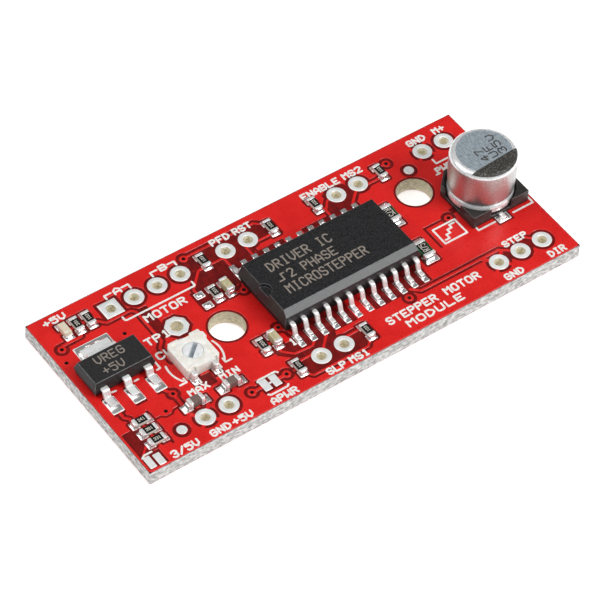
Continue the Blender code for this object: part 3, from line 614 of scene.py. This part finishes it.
def buildPlatedHoles():
    hole, reach, plating = board["holeRadius"], board["padRadius"], board["plating"]
    crown = [(hole - plating, -0.7), (hole - plating, -0.03), (hole - 0.005, 0.01), (hole + 0.06, 0.028),
             (hole + 0.2, 0.034), (reach - 0.12, 0.026), (reach - 0.02, 0.012), (reach, -0.01),
             (hole + 0.02, -0.02)]
    profile = [(radius, boardTop + rise) for radius, rise in crown]
    profile += [(radius, -rise) for radius, rise in reversed(crown)]
    shape = bmesh.new()
    for x, y in roundPads:
        addShape(shape, spun(profile, 40, closed=True), (x + artShift, y, 0))
    for (x, y), radius, outline in (
        (squarePad, hole, outlineAround(0, 0, reach, reach, 0.04)),
        (testPoint, board["testHole"], outlineCircle(0, 0, board["testPad"] / cos(pi / 8), *octagon)),
    ):
        place = (x + artShift, y, 0)
        for start, end in ((boardTop - 0.01, boardTop + 0.03), (0.01, -0.03)):
            land = flatArt([outline], holes=[outlineCircle(0, 0, radius - 0.01, 40)])
            addShape(shape, raiseArt(land, start, end, 0.05), place)
        tube = [(radius - plating, -0.005), (radius - plating, boardTop + 0.005), (radius, boardTop + 0.02),
                (radius, -0.02)]
        addShape(shape, spun(tube, 40, closed=True), place)
    shape.normal_update()
    for face in shape.faces:
        inHole = 0.03 < face.calc_center_median().z < boardTop - 0.01 and abs(face.normal.z) < 0.3
        face.material_index = 1 if inHole else 0
    finishPiece(shape, "plated_holes", ["levelledTin", "holePlating"], smooth=50)


def buildVias():
    shape = bmesh.new()
    wall = board["viaHole"]
    rim = [(wall - 0.03, 0.0), (wall + 0.1, 0.012), (wall + 0.12, 0.0), (wall, -0.05)]
    profile = [(radius, boardTop + rise) for radius, rise in rim]
    profile += [(radius, -rise) for radius, rise in rim[:0:-1]] + [(wall - 0.03, 0.0)]
    for x, y in vias:
        addShape(shape, spun(profile, 16, closed=True), (x + artShift, y, 0))
    # faces inside the barrel take the dark brown painted shade of the hole
    for face in shape.faces:
        face.material_index = 1 if 0.01 < face.calc_center_median().z < boardTop - 0.01 else 0
    finishPiece(shape, "via_barrels", ["maskOverCopper", "viaPlatingPaintedShade"], smooth=50)


def buildSurfacePads():
    pads = [box for group in chipPads for box in padBoxes(group, -0.02)]
    pads += driverPads + otherPads + [outlineCircle(x, y, board["targetDot"] - 0.02) for x, y in targets]
    pads = raiseArt(flatArt(pads), boardTop - 0.005, boardTop + 0.022, 0.03)
    finishLayer(pads, "surface_pads", "levelledTin")


labels = [  # generic signal names, each with the box that it fills: x0, x1, y0, y1
    ("+5V", -25.2, -23.0, 9.0, 9.65), ("A", -17.75, -17.1, 8.8, 9.45), ("B", -12.7, -12.05, 8.85, 9.45),
    ("MOTOR", -17.15, -12.85, 4.4, 5.15), ("TP1", -18.7, -16.25, 2.0, 2.75),
    ("CUR", -18.75, -16.3, 0.1, 0.85), ("MAX", -18.75, -16.75, -4.95, -4.35),
    ("MIN", -15.35, -13.5, -4.95, -4.35), ("3/5V", -23.9, -21.15, -9.9, -9.2),
    ("GND", -19.7, -17.75, -9.85, -9.2), ("+5V", -17.35, -15.35, -9.85, -9.2),
    ("APWR", -13.15, -10.45, -9.85, -9.2), ("SLP", -7.0, -5.1, -9.85, -9.2),
    ("MS1", -4.5, -2.55, -9.85, -9.2), ("PFD", -7.0, -5.05, 8.75, 9.4), ("RST", -4.45, -2.6, 8.75, 9.4),
    ("ENABLE", 3.4, 7.55, 8.75, 9.4), ("MS2", 8.2, 10.2, 8.75, 9.4), ("GND", 15.85, 17.75, 8.75, 9.4),
    ("M+", 18.9, 20.05, 8.75, 9.4), ("PWR", 16.1, 17.9, 4.5, 5.1), ("STEP", 15.6, 18.2, -6.5, -5.9),
    ("GND", 13.3, 15.25, -9.85, -9.2), ("DIR", 18.45, 20.2, -9.85, -9.2), ("1", -7.75, -7.35, -5.2, -4.5),
    ("STEPPER MOTOR", 1.0, 11.4, -8.15, -7.4), ("MODULE", 2.4, 8.6, -9.35, -8.65),
]
legendLines = [  # the last two are a plain step wave in a frame
    [(-18.75, 8.75), (-18.75, 9.2), (-18.05, 9.2)], [(-16.85, 9.2), (-16.15, 9.2), (-16.15, 8.7)],
    [(-13.7, 8.65), (-13.7, 9.2), (-13.0, 9.2)], [(-11.8, 9.2), (-11.1, 9.2), (-11.1, 8.7)],
    [(-18.75, 6.15), (-18.75, 5.75), (-18.6, 5.65), (-11.2, 5.65), (-11.1, 5.75), (-11.1, 6.2)],
    [(-12.95, -6.95), (-12.75, -6.8), (-10.95, -6.8), (-10.75, -7.0)],
    [(-12.95, -8.65), (-12.75, -8.82), (-10.95, -8.82), (-10.75, -8.65)],
    [(-26.3, -8.4), (-26.0, -8.2), (-25.2, -8.2)], [(-19.25, 0.2), (-19.25, -0.7), (-19.6, -0.75)],
    [(-21.6, -0.7), (-22.0, -0.7)], [(-24.0, -0.7), (-24.4, -0.65)],
    [(14.8, -3.1), (14.8, -3.45), (16.75, -3.45)], [(18.9, -3.45), (21.25, -3.45), (21.25, -2.4)],
    [(16.65, 6.2), (16.65, 5.6), (18.4, 5.6)], [(15.8, 4.4), (16.2, 4.4)], [(-14.6, -3.1), (-14.6, -3.7)],
    [(-17.75, -3.0), (-17.75, -3.8), (-17.5, -3.8)], penArc(-16.0, -1.6, 2.85, 165, 212),
    [(-18.9, -3.4), (-18.2, -3.4), (-18.2, -2.9)], penArc(-16.05, -1.6, 2.65, 20, -38),
    [(-13.3, -3.4), (-13.95, -3.4), (-13.95, -2.9)],
    [(11.2, -3.05), (11.2, -1.05), (13.75, -1.05), (13.75, -3.05), (11.2, -3.05)],
    [(11.5, -2.7), (11.95, -2.7), (11.95, -2.2), (12.4, -2.2), (12.4, -1.75), (12.9, -1.75),
     (12.9, -1.35), (13.45, -1.35)],
]


def buildLegend():
    bars = letterings(labels, board["legendPen"])
    bars += [bar for line in legendLines for bar in penLine(line, board["legendPen"])]
    reach = board["padRadius"] + board["legendClear"]
    clear = [outlineCircle(x, y, reach) for x, y in roundPads] + [outlineAround(*squarePad, reach, reach)]
    clear.append(outlineCircle(*testPoint, board["testClear"], *octagon))
    clear += [box for group in chipPads for box in padBoxes(group, 0.05)]
    legend = raiseArt(flatArt(bars, clear), boardTop - 0.003, boardTop + 0.014)
    finishLayer(legend, "white_legend", "legendInk")


buildLaminate()
buildCopper()
buildPlatedHoles()
buildVias()
buildSurfacePads()
buildLegend()
print("board made")


# helpers for the parts that stand on the board

leadRest = boardTop + 0.02  # a lead's underside, on the tin of its pad
solderRest = boardTop + 0.012


def smoothCopy(node, width):  # a CAD node's mesh, merged, with its hard edges rounded
    shape = bmesh.new()
    shape.from_mesh(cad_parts[node].data)
    bmesh.ops.scale(shape, vec=(1 / mm, 1 / mm, 1 / mm), verts=shape.verts)
    bmesh.ops.remove_doubles(shape, verts=shape.verts, dist=1e-4)
    return softened(shape, width)


def bentPath(points, radius, steps=6):  # each inner corner becomes a smooth bend
    path = [Vector(points[0])]
    for before, corner, after in zip(points, points[1:], points[2:]):
        corner = Vector(corner)
        first = (Vector(before) - corner).normalized()
        second = (Vector(after) - corner).normalized()
        half = (first + second).length / 2
        reach = radius * half / (1 - half ** 2) ** 0.5
        for step in range(steps + 1):
            t = step / steps
            path.append(corner + first * reach * (1 - t) ** 2 + second * reach * t ** 2)
    return path + [Vector(points[-1])]


def bentStrip(path, width, thickness, edge=0.035):  # a flat strip in the Y-Z plane, extruded along its path
    def corners(index):
        ahead = path[min(index + 1, len(path) - 1)] - path[index]
        behind = path[index] - path[max(index - 1, 0)]
        along = (ahead.normalized() + behind.normalized()).normalized()
        across = Vector((-along.y, along.x)) * thickness / 2
        low, high = path[index] - across, path[index] + across
        return [(-width / 2, *low), (width / 2, *low), (width / 2, *high), (-width / 2, *high)]

    shape = bmesh.new()
    first = shape.faces.new([shape.verts.new(corner) for corner in corners(0)])
    made = bmesh.ops.extrude_face_region(shape, geom=[first])["geom"]
    end = next(part for part in made if isinstance(part, bmesh.types.BMFace))
    for index in range(1, len(path)):
        if index > 1:
            end = bmesh.ops.extrude_discrete_faces(shape, faces=[end])["faces"][0]
        for vert, place in zip(end.verts, corners(index)):
            vert.co = place
    bmesh.ops.recalc_face_normals(shape, faces=shape.faces)
    return bevelled(shape, [part for part in shape.edges if part.calc_face_angle(0) > radians(55)], edge, 3)


def gullWing(piece, shoulder, bend):  # a lead's middle line, from inside the body to its toe on the pad
    parting = boardTop + piece["parting"]
    low = leadRest + piece["leadThick"] / 2
    knee = shoulder + (parting - low) * 0.3
    points = [(piece["leadStart"], parting), (shoulder, parting), (knee, low), (piece["toe"], low)]
    return bentPath(points, bend)


def band(half, near, far):  # the x0, x1, y0 and y1 of a mound's level that is even about X
    return -half, half, near, far


def solderMound(base, ridge, height, seed=0.0):  # a fillet from the pad to the ridge, a little uneven
    low = solderRest
    middle = [b + (r - b) * 0.66 for b, r in zip(base, ridge)]
    shape = taperedBlock([(low, *base), (low + height * 0.36, *middle), (low + height, *ridge)])
    bmesh.ops.subdivide_edges(shape, edges=shape.edges[:], cuts=2, use_grid_fill=True)
    raised = [vert for vert in shape.verts if vert.co.z > low + 0.01]
    bmesh.ops.smooth_vert(shape, verts=raised, factor=0.5, use_axis_x=True, use_axis_y=True, use_axis_z=True)
    for vert in shape.verts:
        if vert.co.z > low + 0.01:
            vert.co.z += 0.05 * height * noise.noise(Vector((vert.co.x * 4 + seed, vert.co.y * 4, seed)))
    bmesh.ops.recalc_face_normals(shape, faces=shape.faces)
    return shape


def marking(outlines, height, thick=0.006):
    return raiseArt(flatArt(outlines), height - 0.002, height + thick)


def finishMarking(bars, height, name):
    finishPiece(marking(bars, height), f"{name}_laser_marking", ["laserMark"])


def carve(piece, cutter):  # the cutter's shape is cut out of the piece
    tool = addObject("cutter", meshOf(cutter, "cutter"))
    cut = piece.modifiers.new("cut", "BOOLEAN")
    cut.solver = "EXACT"
    cut.object = tool
    bakeModifiers(piece)
    bpy.data.objects.remove(tool)


def roundEdges(piece, width, segments=3, limit=30, material=-1):
    piece.data.shade_smooth()
    rounding = piece.modifiers.new("rounding", "BEVEL")
    rounding.width = width * mm
    rounding.segments = segments
    rounding.limit_method = "ANGLE"
    rounding.angle_limit = radians(limit)
    rounding.harden_normals = True
    rounding.material = material
    bakeModifiers(piece)


# driver chip: moulded body, laser marking, gull-wing leads and their solder

driver = {
    "at": (2.54, 0.0), "pitch": 1.27, "leadWidth": 0.5, "leadThick": 0.25, "leadRound": 0.11,
    "parting": 1.25, "leadStart": 3.4, "shoulder": 4.15, "toe": 5.2, "bend": 0.34, "edge": 0.06,
    "notchRadius": 0.75, "notchDepth": 0.35, "markPen": 0.15, "groundLeads": (6, 7, 18, 19),
    "marks": (("DRIVER IC", -5.6, 1.3, 1.45, 2.45), ("2 PHASE", -4.4, 0.8, -0.1, 0.85),
              ("MICROSTEPPER", -5.6, 3.2, -1.65, -0.65)),
    "step": [(-5.6, 0.0), (-5.1, 0.0), (-5.1, 0.75), (-4.75, 0.75)],
}


def buildDriver():
    (x0, x1), (y0, y1), (z0, z1) = spanOf("driver_ic_body")
    block = taperedBlock([  # widest at the parting line, with one long top edge sloped off
        (z0, x0 + 0.3, x1 - 0.3, y0 + 0.2, y1 - 0.2), (boardTop + driver["parting"], x0, x1, y0, y1),
        (z1 - 0.5, x0 + 0.22, x1 - 0.2, y0 + 0.16, y1 - 0.1), (z1, x0 + 0.35, x1 - 0.3, y0 + 0.8, y1 - 0.15),
    ])
    body = finishPiece(block, "driver_body", ["mouldedEpoxy"], ["driver_ic_body"])
    floor, wide = z1 - driver["notchDepth"], driver["notchRadius"]
    notch = spun([(0, floor), (wide - 0.05, floor), (wide, z1 + 0.3), (0, z1 + 0.3)], 40)
    carve(body, setDown(notch, (x0 + 0.3, driver["at"][1], 0)))
    for material in ("polishedEpoxy", "epoxyPaintedEdgeHighlight"):
        body.data.materials.append(finish[material])
    for face in body.data.polygons:  # the sides, and the slope at the top's edge, are the polished ones
        face.material_index = 1 if -0.05 < face.normal.z < 0.97 else 0
    # the faces of the rounding take the pale painted edge highlight
    roundEdges(body, driver["edge"], material=2)
    bars = letterings(driver["marks"], driver["markPen"]) + penLine(driver["step"], driver["markPen"])
    finishMarking(placed(bars, *driver["at"]), z1, "driver")
    path = gullWing(driver, driver["shoulder"], driver["bend"])
    half = driver["leadWidth"] / 2
    solder, ground = bmesh.new(), bmesh.new()
    for number in range(1, 25):
        place, turn = (number - 6.5, 180) if number <= 12 else (18.5 - number, 0)
        x = driver["at"][0] + driver["pitch"] * place
        lead = bentStrip(path, driver["leadWidth"], driver["leadThick"], driver["leadRound"])
        if number in driver["groundLeads"]:
            addShape(ground, lead, (x, 0, 0), turn)
        else:
            finishLead(setDown(lead, (x, 0, 0), turn), f"driver_lead_{number:02d}")
        toe = solderMound(band(0.29, 4.26, 5.8), band(half - 0.02, 4.5, 5.26), 0.17, number)
        addShape(solder, toe, (x, 0, 0), turn)
    finishPiece(ground, "formed_ground_leads", ["platedLead"], ["driver_die_paddle"], smooth=40)
    finishSolder(solder, "driver")


# regulator: moulded body, heat tab and three leads

regulator = {
    "at": (-20.26, 1.3), "leadX": 2.3, "leadWidth": 0.72, "leadThick": 0.26, "tabWidth": 3.0,
    "parting": 0.88, "leadStart": 1.5, "shoulder": 2.1, "tabShoulder": 2.24, "toe": 3.5, "bend": 0.25,
    "tabBend": 0.34, "edge": 0.05, "markPen": 0.13,
    "marks": (("VREG", -1.6, 1.3, 0.25, 1.1), ("+5V", -1.6, 0.5, -1.1, -0.25)),
}


def buildRegulator():
    (x0, x1), (y0, y1), (z0, z1) = spanOf("regulator_body")
    block = taperedBlock([  # drawn in by its draft above and below the parting line
        (z, x0 + draft, x1 - draft, y0 + draft, y1 - draft)
        for z, draft in ((z0, 0.15), (boardTop + regulator["parting"], 0), (z1, 0.25))
    ])
    body = finishPiece(block, "regulator_moulding", ["regulatorEpoxy"], ["regulator_body"])
    # the faces of the rounding take the pale painted edge highlight
    body.data.materials.append(finish["epoxyPaintedEdgeHighlight"])
    roundEdges(body, regulator["edge"], material=1)
    x, y = regulator["at"]
    finishMarking(placed(letterings(regulator["marks"], regulator["markPen"]), x, y), z1, "regulator")
    width, thick = regulator["leadWidth"], regulator["leadThick"]
    path = gullWing(regulator, regulator["shoulder"], regulator["bend"])
    for place, name in ((-1, "regulator_adjust_lead"), (1, "regulator_input_lead")):
        lead = bentStrip(path, width, thick)
        finishLead(setDown(lead, (x + place * regulator["leadX"], y, 0), 180), name)
    tabPath = gullWing(regulator, regulator["tabShoulder"], regulator["tabBend"])
    tab = setDown(bentStrip(tabPath, regulator["tabWidth"], thick, 0.06), (x, y, 0))
    addShape(tab, bentStrip(path, width, thick), (x, y, 0), 180)
    finishPiece(tab, "formed_regulator_tab", ["levelledTin"], ["regulator_tab"], smooth=40)
    solder = bmesh.new()
    half = width / 2
    for place in (-1, 0, 1):
        mound = solderMound(band(0.57, 2.42, 4.2), band(half - 0.02, 2.75, 3.54), 0.19, place + 5)
        addShape(solder, mound, (x + place * regulator["leadX"], y, 0), 180)
    half = regulator["tabWidth"] / 2
    mound = solderMound(band(half + 0.32, 2.63, 4.12), band(half - 0.02, 2.72, 3.54), 0.2, 9)
    addShape(solder, mound, (x, y, 0))
    finishSolder(solder, "regulator")


# current trimmer: housing with a rotor that turns

trimmer = {
    "at": (-13.66, -1.45), "rotorRadius": 0.97, "flange": 1.18, "flangeLow": 0.57, "flangeThick": 0.26,
    "slot": (1.8, 0.46, 0.34), "slotTurn": 40, "dot": (-0.37, -0.58), "terminalX": 1.15,
    "terminalWidth": 0.46,
    "dimples": ((-1.2, 1.3), (-1.27, 0.06), (1.17, -1.0), (1.33, 0.08), (-1.12, -1.24)),
}


def buildTrimmer():
    x, y = trimmer["at"]
    housing = finishPiece(smoothCopy("trimmer_housing", 0.04), "trimmer_moulding", ["filledNylon"],
                          ["trimmer_housing"])
    top = spanOf("trimmer_housing")[2][1]
    bowl = [(0, top - 0.06), (0.08, top - 0.055), (0.16, top - 0.035), (0.23, top + 0.01), (0.23, top + 0.1),
            (0, top + 0.1)]
    cutter = bmesh.new()
    for px, py in trimmer["dimples"]:
        addShape(cutter, spun(bowl, 20), (x + px, y + py, 0))
    carve(housing, cutter)
    housing.data.shade_smooth()
    housing.data.set_sharp_from_angle(angle=radians(35))
    radius, flange, (length, width, depth) = trimmer["rotorRadius"], trimmer["flange"], trimmer["slot"]
    low = boardTop + trimmer["flangeLow"]
    lip = low + trimmer["flangeThick"]
    high = top + 0.03
    rotor = spun([(0, low), (flange, low), (flange, lip), (radius, lip), (radius, high - 0.1),
                  (radius - 0.03, high - 0.03), (radius - 0.1, high), (0, high)], 64)
    rotor = finishPiece(setDown(rotor, (x, y, 0)), "trimmer_turning_rotor", ["rotorPlastic", "slotFloorPaintedShade"],
                        ["trimmer_rotor"], body="current_trimmer")
    cutter = boxShape(-length / 2, length / 2, -width / 2, width / 2, high - depth, high + 0.5)
    dot = spun([(0, high - 0.09), (0.06, high - 0.08), (0.09, high + 0.2), (0, high + 0.2)], 12)
    addShape(cutter, dot, (*trimmer["dot"], 0))
    carve(rotor, setDown(cutter, (x, y, 0), trimmer["slotTurn"]))
    roundEdges(rotor, 0.02, 2, 40)
    for face in rotor.data.polygons:  # the floor of the slot takes the painted shade
        middle = face.center / mm
        inside = (middle.xy - Vector((x, y))).length < radius - 0.05
        face.material_index = 1 if inside and abs(middle.z - high + depth) < 0.02 else 0
    solder = bmesh.new()
    half = trimmer["terminalWidth"] / 2
    for place, name in ((-1, "trimmer_left_terminal"), (1, "trimmer_right_terminal")):
        _, (front, back), (low, high) = spanOf(name)
        middle = x + place * trimmer["terminalX"] - 0.14
        tab = softened(boxShape(-half, half, front - 0.06, back - 0.02, low, high + 0.02), 0.09, 3)
        finishLead(setDown(tab, (middle, 0, 0)), name)
        ridge = band(half - 0.03, y - back, y - front + 0.1)
        mound = solderMound(band(0.33, y - back + 0.02, 2.72), ridge, 0.26, place + 3)
        addShape(solder, mound, (middle, y, 0), 180)
    finishLead(smoothCopy("trimmer_wiper_terminal", 0.02), "trimmer_wiper_terminal")
    addShape(solder, solderMound(band(0.36, 1.95, 2.55), band(0.24, 1.9, 2.35), 0.2, 7), (x, y, 0))
    finishSolder(solder, "trimmer")


# supply capacitor: crimped can, printed top, moulded base and two feet

capacitor = {  # each point of the crimp is its distance out from the foot's ring, then its height
    "at": (20.24, 0.22), "roll": 0.62, "filmRadius": 2.68, "inkRadius": 3.16, "chord": -1.46, "tilt": 3.8,
    "bore": 3.05, "leadWidth": 0.5, "leadThick": 0.25, "leadStart": 1.25, "leadEnd": 3.9, "bend": 0.25,
    "crimp": ((-0.2, 0.02), (-0.05, 0.1), (0, 0.24), (0, 0.56), (-0.02, 0.68), (-0.07, 0.8), (-0.15, 0.9),
              (-0.24, 0.98), (-0.27, 1.04), (-0.24, 1.1), (-0.1, 1.17), (-0.03, 1.26), (-0.02, 1.4)),
    "markPen": 0.13,
    "marks": (("47", -1.12, 0.45, 0.15, 0.88), ("UF", -1.12, 0.42, -0.85, -0.12),
              ("35V", -1.12, 1.4, -1.88, -1.12)),
}


def buildCapacitor():
    x, y = capacitor["at"]
    (x0, x1), _, (low, high) = spanOf("capacitor_can")
    radius, roll, bore = (x1 - x0) / 2, capacitor["roll"], capacitor["bore"]
    shoulder = penArc(radius - roll, high - roll, roll, 0, 90, 9)
    ring = radius - 0.08
    crimp = [(ring + out, low + up) for out, up in capacitor["crimp"]]
    outside = [(2.6, low), *crimp, (radius - 0.03, low + 2.6), (radius, high - 1.2), *shoulder, (0, high)]
    inside = [(0, high - 0.2), (2.6, high - 0.2), (bore, high - 0.7), (bore, low + 1.7), (2.82, low + 1.06),
              (2.98, low + 0.6), (2.95, low + 0.25), (2.6, low + 0.15)]
    can = spun(outside + inside, 128)
    for face in can.faces:  # the foot and the shoulder take the painted highlight
        middle = face.calc_center_median().z
        face.material_index = 1 if middle < low + 1.03 or high - roll * 0.85 < middle else 0
    setDown(can, (x, y, 0))
    finishPiece(can, "crimped_can", ["drawnAluminium", "aluminiumPaintedHighlight"],
                ["capacitor_can"], smooth=60)
    film = raiseArt(flatArt([outlineCircle(x, y, capacitor["filmRadius"], 96)]), high - 0.01, high + 0.006)
    finishPiece(film, "can_top_film", ["filmedTop"])
    wrap = [point for point in shoulder if point[0] < capacitor["inkRadius"]]
    over = [(r + 0.008, z + 0.012) for r, z in wrap]
    ink = spun([(wrap[0][0], wrap[0][1] - 0.03), *over, (0, high + 0.012), (0, high - 0.03)], 96)
    chord = Matrix.Rotation(radians(capacitor["tilt"]), 3, "Z") @ Vector((0, 1, 0))
    everything = [*ink.verts, *ink.edges, *ink.faces]
    place = chord * capacitor["chord"]
    bmesh.ops.bisect_plane(ink, geom=everything, plane_co=place, plane_no=chord, clear_outer=True)
    bmesh.ops.holes_fill(ink, edges=[part for part in ink.edges if part.is_boundary])
    bmesh.ops.recalc_face_normals(ink, faces=ink.faces)
    setDown(ink, (x, y, 0))
    value = flatArt(placed(letterings(capacitor["marks"], capacitor["markPen"]), x, y, 90))
    addShape(ink, raiseArt(value, high, high + 0.012))
    finishPiece(ink, "can_top_print", ["canInk"], smooth=40)
    base = smoothCopy("capacitor_base", 0.08)
    base.normal_update()
    for face in base.faces:  # only the sloping faces, which are the rounded edges, get the painted edge highlight
        face.material_index = 1 if 0.25 < abs(face.normal.z) < 0.95 else 0
    finishPiece(base, "capacitor_moulding", ["basePolyester", "polyesterPaintedEdgeHighlight"],
                ["capacitor_base"], smooth=35)
    start, thick = capacitor["leadStart"], capacitor["leadThick"]
    rest = leadRest + thick / 2
    points = [(start, boardTop + 2.1), (start, rest), (capacitor["leadEnd"], rest)]
    path = bentPath(points, capacitor["bend"])
    solder = bmesh.new()
    for turn, name in ((180, "capacitor_negative_lead"), (0, "capacitor_positive_lead")):
        finishLead(setDown(bentStrip(path, capacitor["leadWidth"], thick), (x, y, 0), turn), name)
        mound = solderMound(band(0.66, 3.28, 4.06), band(0.27, 3.3, 3.92), 0.24, turn)
        addShape(solder, mound, (x, y, 0), turn)
    finishSolder(solder, "capacitor")


# chip resistors, chip capacitors and the power light

chips = {
    "terminal": 0.3, "senseTerminal": 0.36, "tanTerminal": 0.34, "brownTerminal": 0.4,
    "codePen": 0.06, "sensePen": 0.085, "senseCode": "R75",
    "codes": {"led_resistor": "331", "supply_sense_resistor": "103", "pfd_resistor": "103",
              "reset_resistor": "103", "enable_resistor": "103", "ms2_resistor": "103",
              "sleep_resistor": "103", "ms1_resistor": "103", "timing_resistor_a": "203",
              "timing_resistor_b": "203", "voltage_select_resistor_1": "241",
              "voltage_select_resistor_2": "391", "voltage_select_resistor_3": "331"},
    "sense": {"current_sense_resistor_a": 180, "current_sense_resistor_b": 0},
    "tan": ("timing_capacitor_a", "timing_capacitor_b"),
    "brown": ("regulator_input_capacitor", "regulator_output_capacitor"),
}
sparePad = (-11.45, 3.72)


def layChip(node):  # centre, whether it lies across the board, and its length, width, bottom and top
    (x0, x1), (y0, y1), (z0, z1) = spanOf(node)
    length, width = sorted((x1 - x0, y1 - y0), reverse=True)
    return ((x0 + x1) / 2, (y0 + y1) / 2, 0), 90 if y1 - y0 > x1 - x0 else 0, length, width, z0, z1


def chipSlab(halfLong, halfWide, low, high, corner, segments=2):
    return softened(boxShape(-halfLong, halfLong, -halfWide, halfWide, low, high), corner, segments)


def chipEnds(length, width, low, high, terminal, corner):
    shape = bmesh.new()
    for side in (-1, 1):
        x0, x1 = sorted((side * (length / 2 - terminal), side * length / 2))
        addShape(shape, softened(boxShape(x0, x1, -width / 2, width / 2, low, high), corner, 3))
    return shape


def landOf(place):  # how far this chip's two pads reach along and across it
    def distance(pads):
        return abs(pads[0] + artShift - place[0]) + abs(pads[1] - place[1])

    pads = min(chipPads, key=distance)
    return pads[4] + pads[2], pads[3]


def buildResistor(node, code, terminal, pen, body="alumina", turnCode=None):
    place, turn, length, width, low, high = layChip(node)
    shape = chipEnds(length, width, low, high, terminal, 0.05)
    inner = length / 2 - terminal
    addShape(shape, chipSlab(inner + 0.04, width / 2 - 0.02, low + 0.03, high - 0.05, 0.02), material=1)
    glaze = inner - 0.01
    rim, reach, tall = 0.14, glaze - 0.16, width * 0.25
    if turnCode is None:
        rim, reach, tall = 0.03, glaze * 0.66, width * 0.18
    addShape(shape, chipSlab(glaze, width / 2 - rim, high - 0.06, high - 0.005, 0.02), material=2)
    text = placed(lettering(code, -reach, reach, -tall, tall, pen), 0, 0, turnCode or 0)
    addShape(shape, marking(text, high - 0.005, 0.004), material=3)
    setDown(shape, place, turn)
    finishPiece(shape, f"chip_{node}", ["platedLead", body, "resistorGlaze", "codePrint"],
                [node], smooth=40)


def buildCeramic(node, terminal, body):
    place, turn, length, width, low, high = layChip(node)
    shape = chipEnds(length, width, low, high, terminal, 0.09)
    slab = chipSlab(length / 2 - terminal + 0.08, width / 2 - 0.02, low + 0.03, high - 0.02, 0.04, 3)
    addShape(shape, slab, material=1)
    finishPiece(setDown(shape, place, turn), f"chip_{node}", ["platedLead", body], [node], smooth=40)


def buildLight():
    place, turn, length, width, low, high = layChip("power_led")
    half = width / 2
    shape = chipEnds(length, width, low, low + 0.26, chips["terminal"], 0.03)
    addShape(shape, boxShape(-0.52, 0.52, -half + 0.01, half - 0.01, low + 0.01, low + 0.24), material=1)
    lens = taperedBlock([(low + 0.23, -0.75, 0.75, -half + 0.01, half - 0.01),
                         (low + 0.42, -0.73, 0.73, -half + 0.02, half - 0.02),
                         (high, -0.67, 0.67, -half + 0.05, half - 0.05)])
    addShape(shape, softened(lens, 0.06, 3), material=1)
    setDown(shape, place, turn)
    finishPiece(shape, "power_light", ["levelledTin", "creamLens"], ["power_led"], smooth=40)


def buildChips():
    for node, code in chips["codes"].items():
        buildResistor(node, code, chips["terminal"], chips["codePen"])
    for node, turn in chips["sense"].items():
        buildResistor(node, chips["senseCode"], chips["senseTerminal"], chips["sensePen"], "greenOvercoat",
                      turn)
    for node in chips["tan"]:
        buildCeramic(node, chips["tanTerminal"], "tanCeramic")
    for node in chips["brown"]:
        buildCeramic(node, chips["brownTerminal"], "brownCeramic")
    buildLight()
    solder = bmesh.new()
    everyChip = [*chips["codes"], *chips["sense"], *chips["tan"], *chips["brown"], "power_led"]
    for index, node in enumerate(everyChip):
        place, turn, length, width, low, high = layChip(node)
        climb = min(0.8 * (high - low), 0.45) if node != "power_led" else 0.2
        reach, half = landOf(place)
        base = (length / 2 - 0.3, reach - 0.03, -half + 0.03, half - 0.03)
        ridge = (length / 2 - 0.15, length / 2 + 0.05, -width / 2 + 0.05, width / 2 - 0.05)
        for side in (0, 180):
            addShape(solder, solderMound(base, ridge, climb, index + side), place, turn + side)
    finishSolder(solder, "chip")


def buildSparePads():  # solder left on the two pads that carry no part
    x, y = sparePad
    solder = bmesh.new()
    for side, tall in ((0.72, 0.1), (-0.72, 0.14)):
        mound = solderMound(band(0.42, -0.34, 0.34), band(0.2, -0.14, 0.14), tall, y + side)
        addShape(solder, mound, (x + artShift, y + side, 0))
    finishSolder(solder, "spare_pad")


buildDriver()
buildRegulator()
buildTrimmer()
buildCapacitor()
buildChips()
buildSparePads()
sealed = {  # CAD nodes that nothing replaces, as they are out of sight
    "capacitor_bung": "sealingRubber", "capacitor_winding": "windingPaper", "trimmer_wiper": "springBrass",
    "trimmer_resistive_element": "alumina",
}
for node, material in sealed.items():
    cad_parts[node].data.materials.clear()
    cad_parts[node].data.materials.append(finish[material])
print("parts on the board made")


# table, light and camera

studio = {
    "floorDrop": 0.05, "floorThick": 5.0, "floorHalf": 900.0, "worldStrength": 0.2, "aim": (0.0, 0.0, 1.6),
    "lights": {  # place and side in mm, then watts
        "keySoftbox": ((190.0, -290.0, 325.0), 215.0, 1.2),
        "fillSoftbox": ((-300.0, 180.0, 380.0), 420.0, 0.9),
        "topSoftbox": ((-80.0, -130.0, 520.0), 480.0, 0.75),
    },
}
camera = {
    "lens": 197.05, "sensor": 36.0, "place": (-122.305, -156.336, 229.222),
    "right": (0.81323, -0.58087, 0.03531), "up": (0.42135, 0.62958, 0.65276),
    "back": (-0.40140, -0.51596, 0.75674),
}
half, top = studio["floorHalf"], -studio["floorDrop"]
tableMesh = meshOf(boxShape(-half, half, -half, half, top - studio["floorThick"], top), "table")
tableMesh.materials.append(finish["opalAcrylic"])
table = addObject("table", tableMesh)

world = bpy.data.worlds.new("studio")
bpy.context.scene.world = world
world.use_nodes = True
backdrop = world.node_tree.nodes["Background"]
backdrop.inputs["Color"].default_value = (1.0, 1.0, 1.0, 1.0)
backdrop.inputs["Strength"].default_value = studio["worldStrength"]
for name, (place, side, power) in studio["lights"].items():
    light = bpy.data.lights.new(name, "AREA")
    light.shape = "SQUARE"
    light.size = side * mm
    light.energy = power
    softbox = addObject(name, light)
    softbox.location = Vector(place) * mm
    softbox.rotation_euler = (Vector(place) - Vector(studio["aim"])).to_track_quat("Z", "Y").to_euler()

view = bpy.data.cameras.new("camera")
view.lens = camera["lens"]
view.sensor_width = camera["sensor"]
view.clip_start = 0.01
view.clip_end = 10.0
viewer = addObject("camera", view)
axes = Matrix([camera["right"], camera["up"], camera["back"]]).transposed().to_4x4()
viewer.matrix_world = Matrix.Translation(Vector(camera["place"]) * mm) @ axes
bpy.context.scene.camera = viewer
bpy.context.scene.view_settings.view_transform = "Standard"
print("studio set")
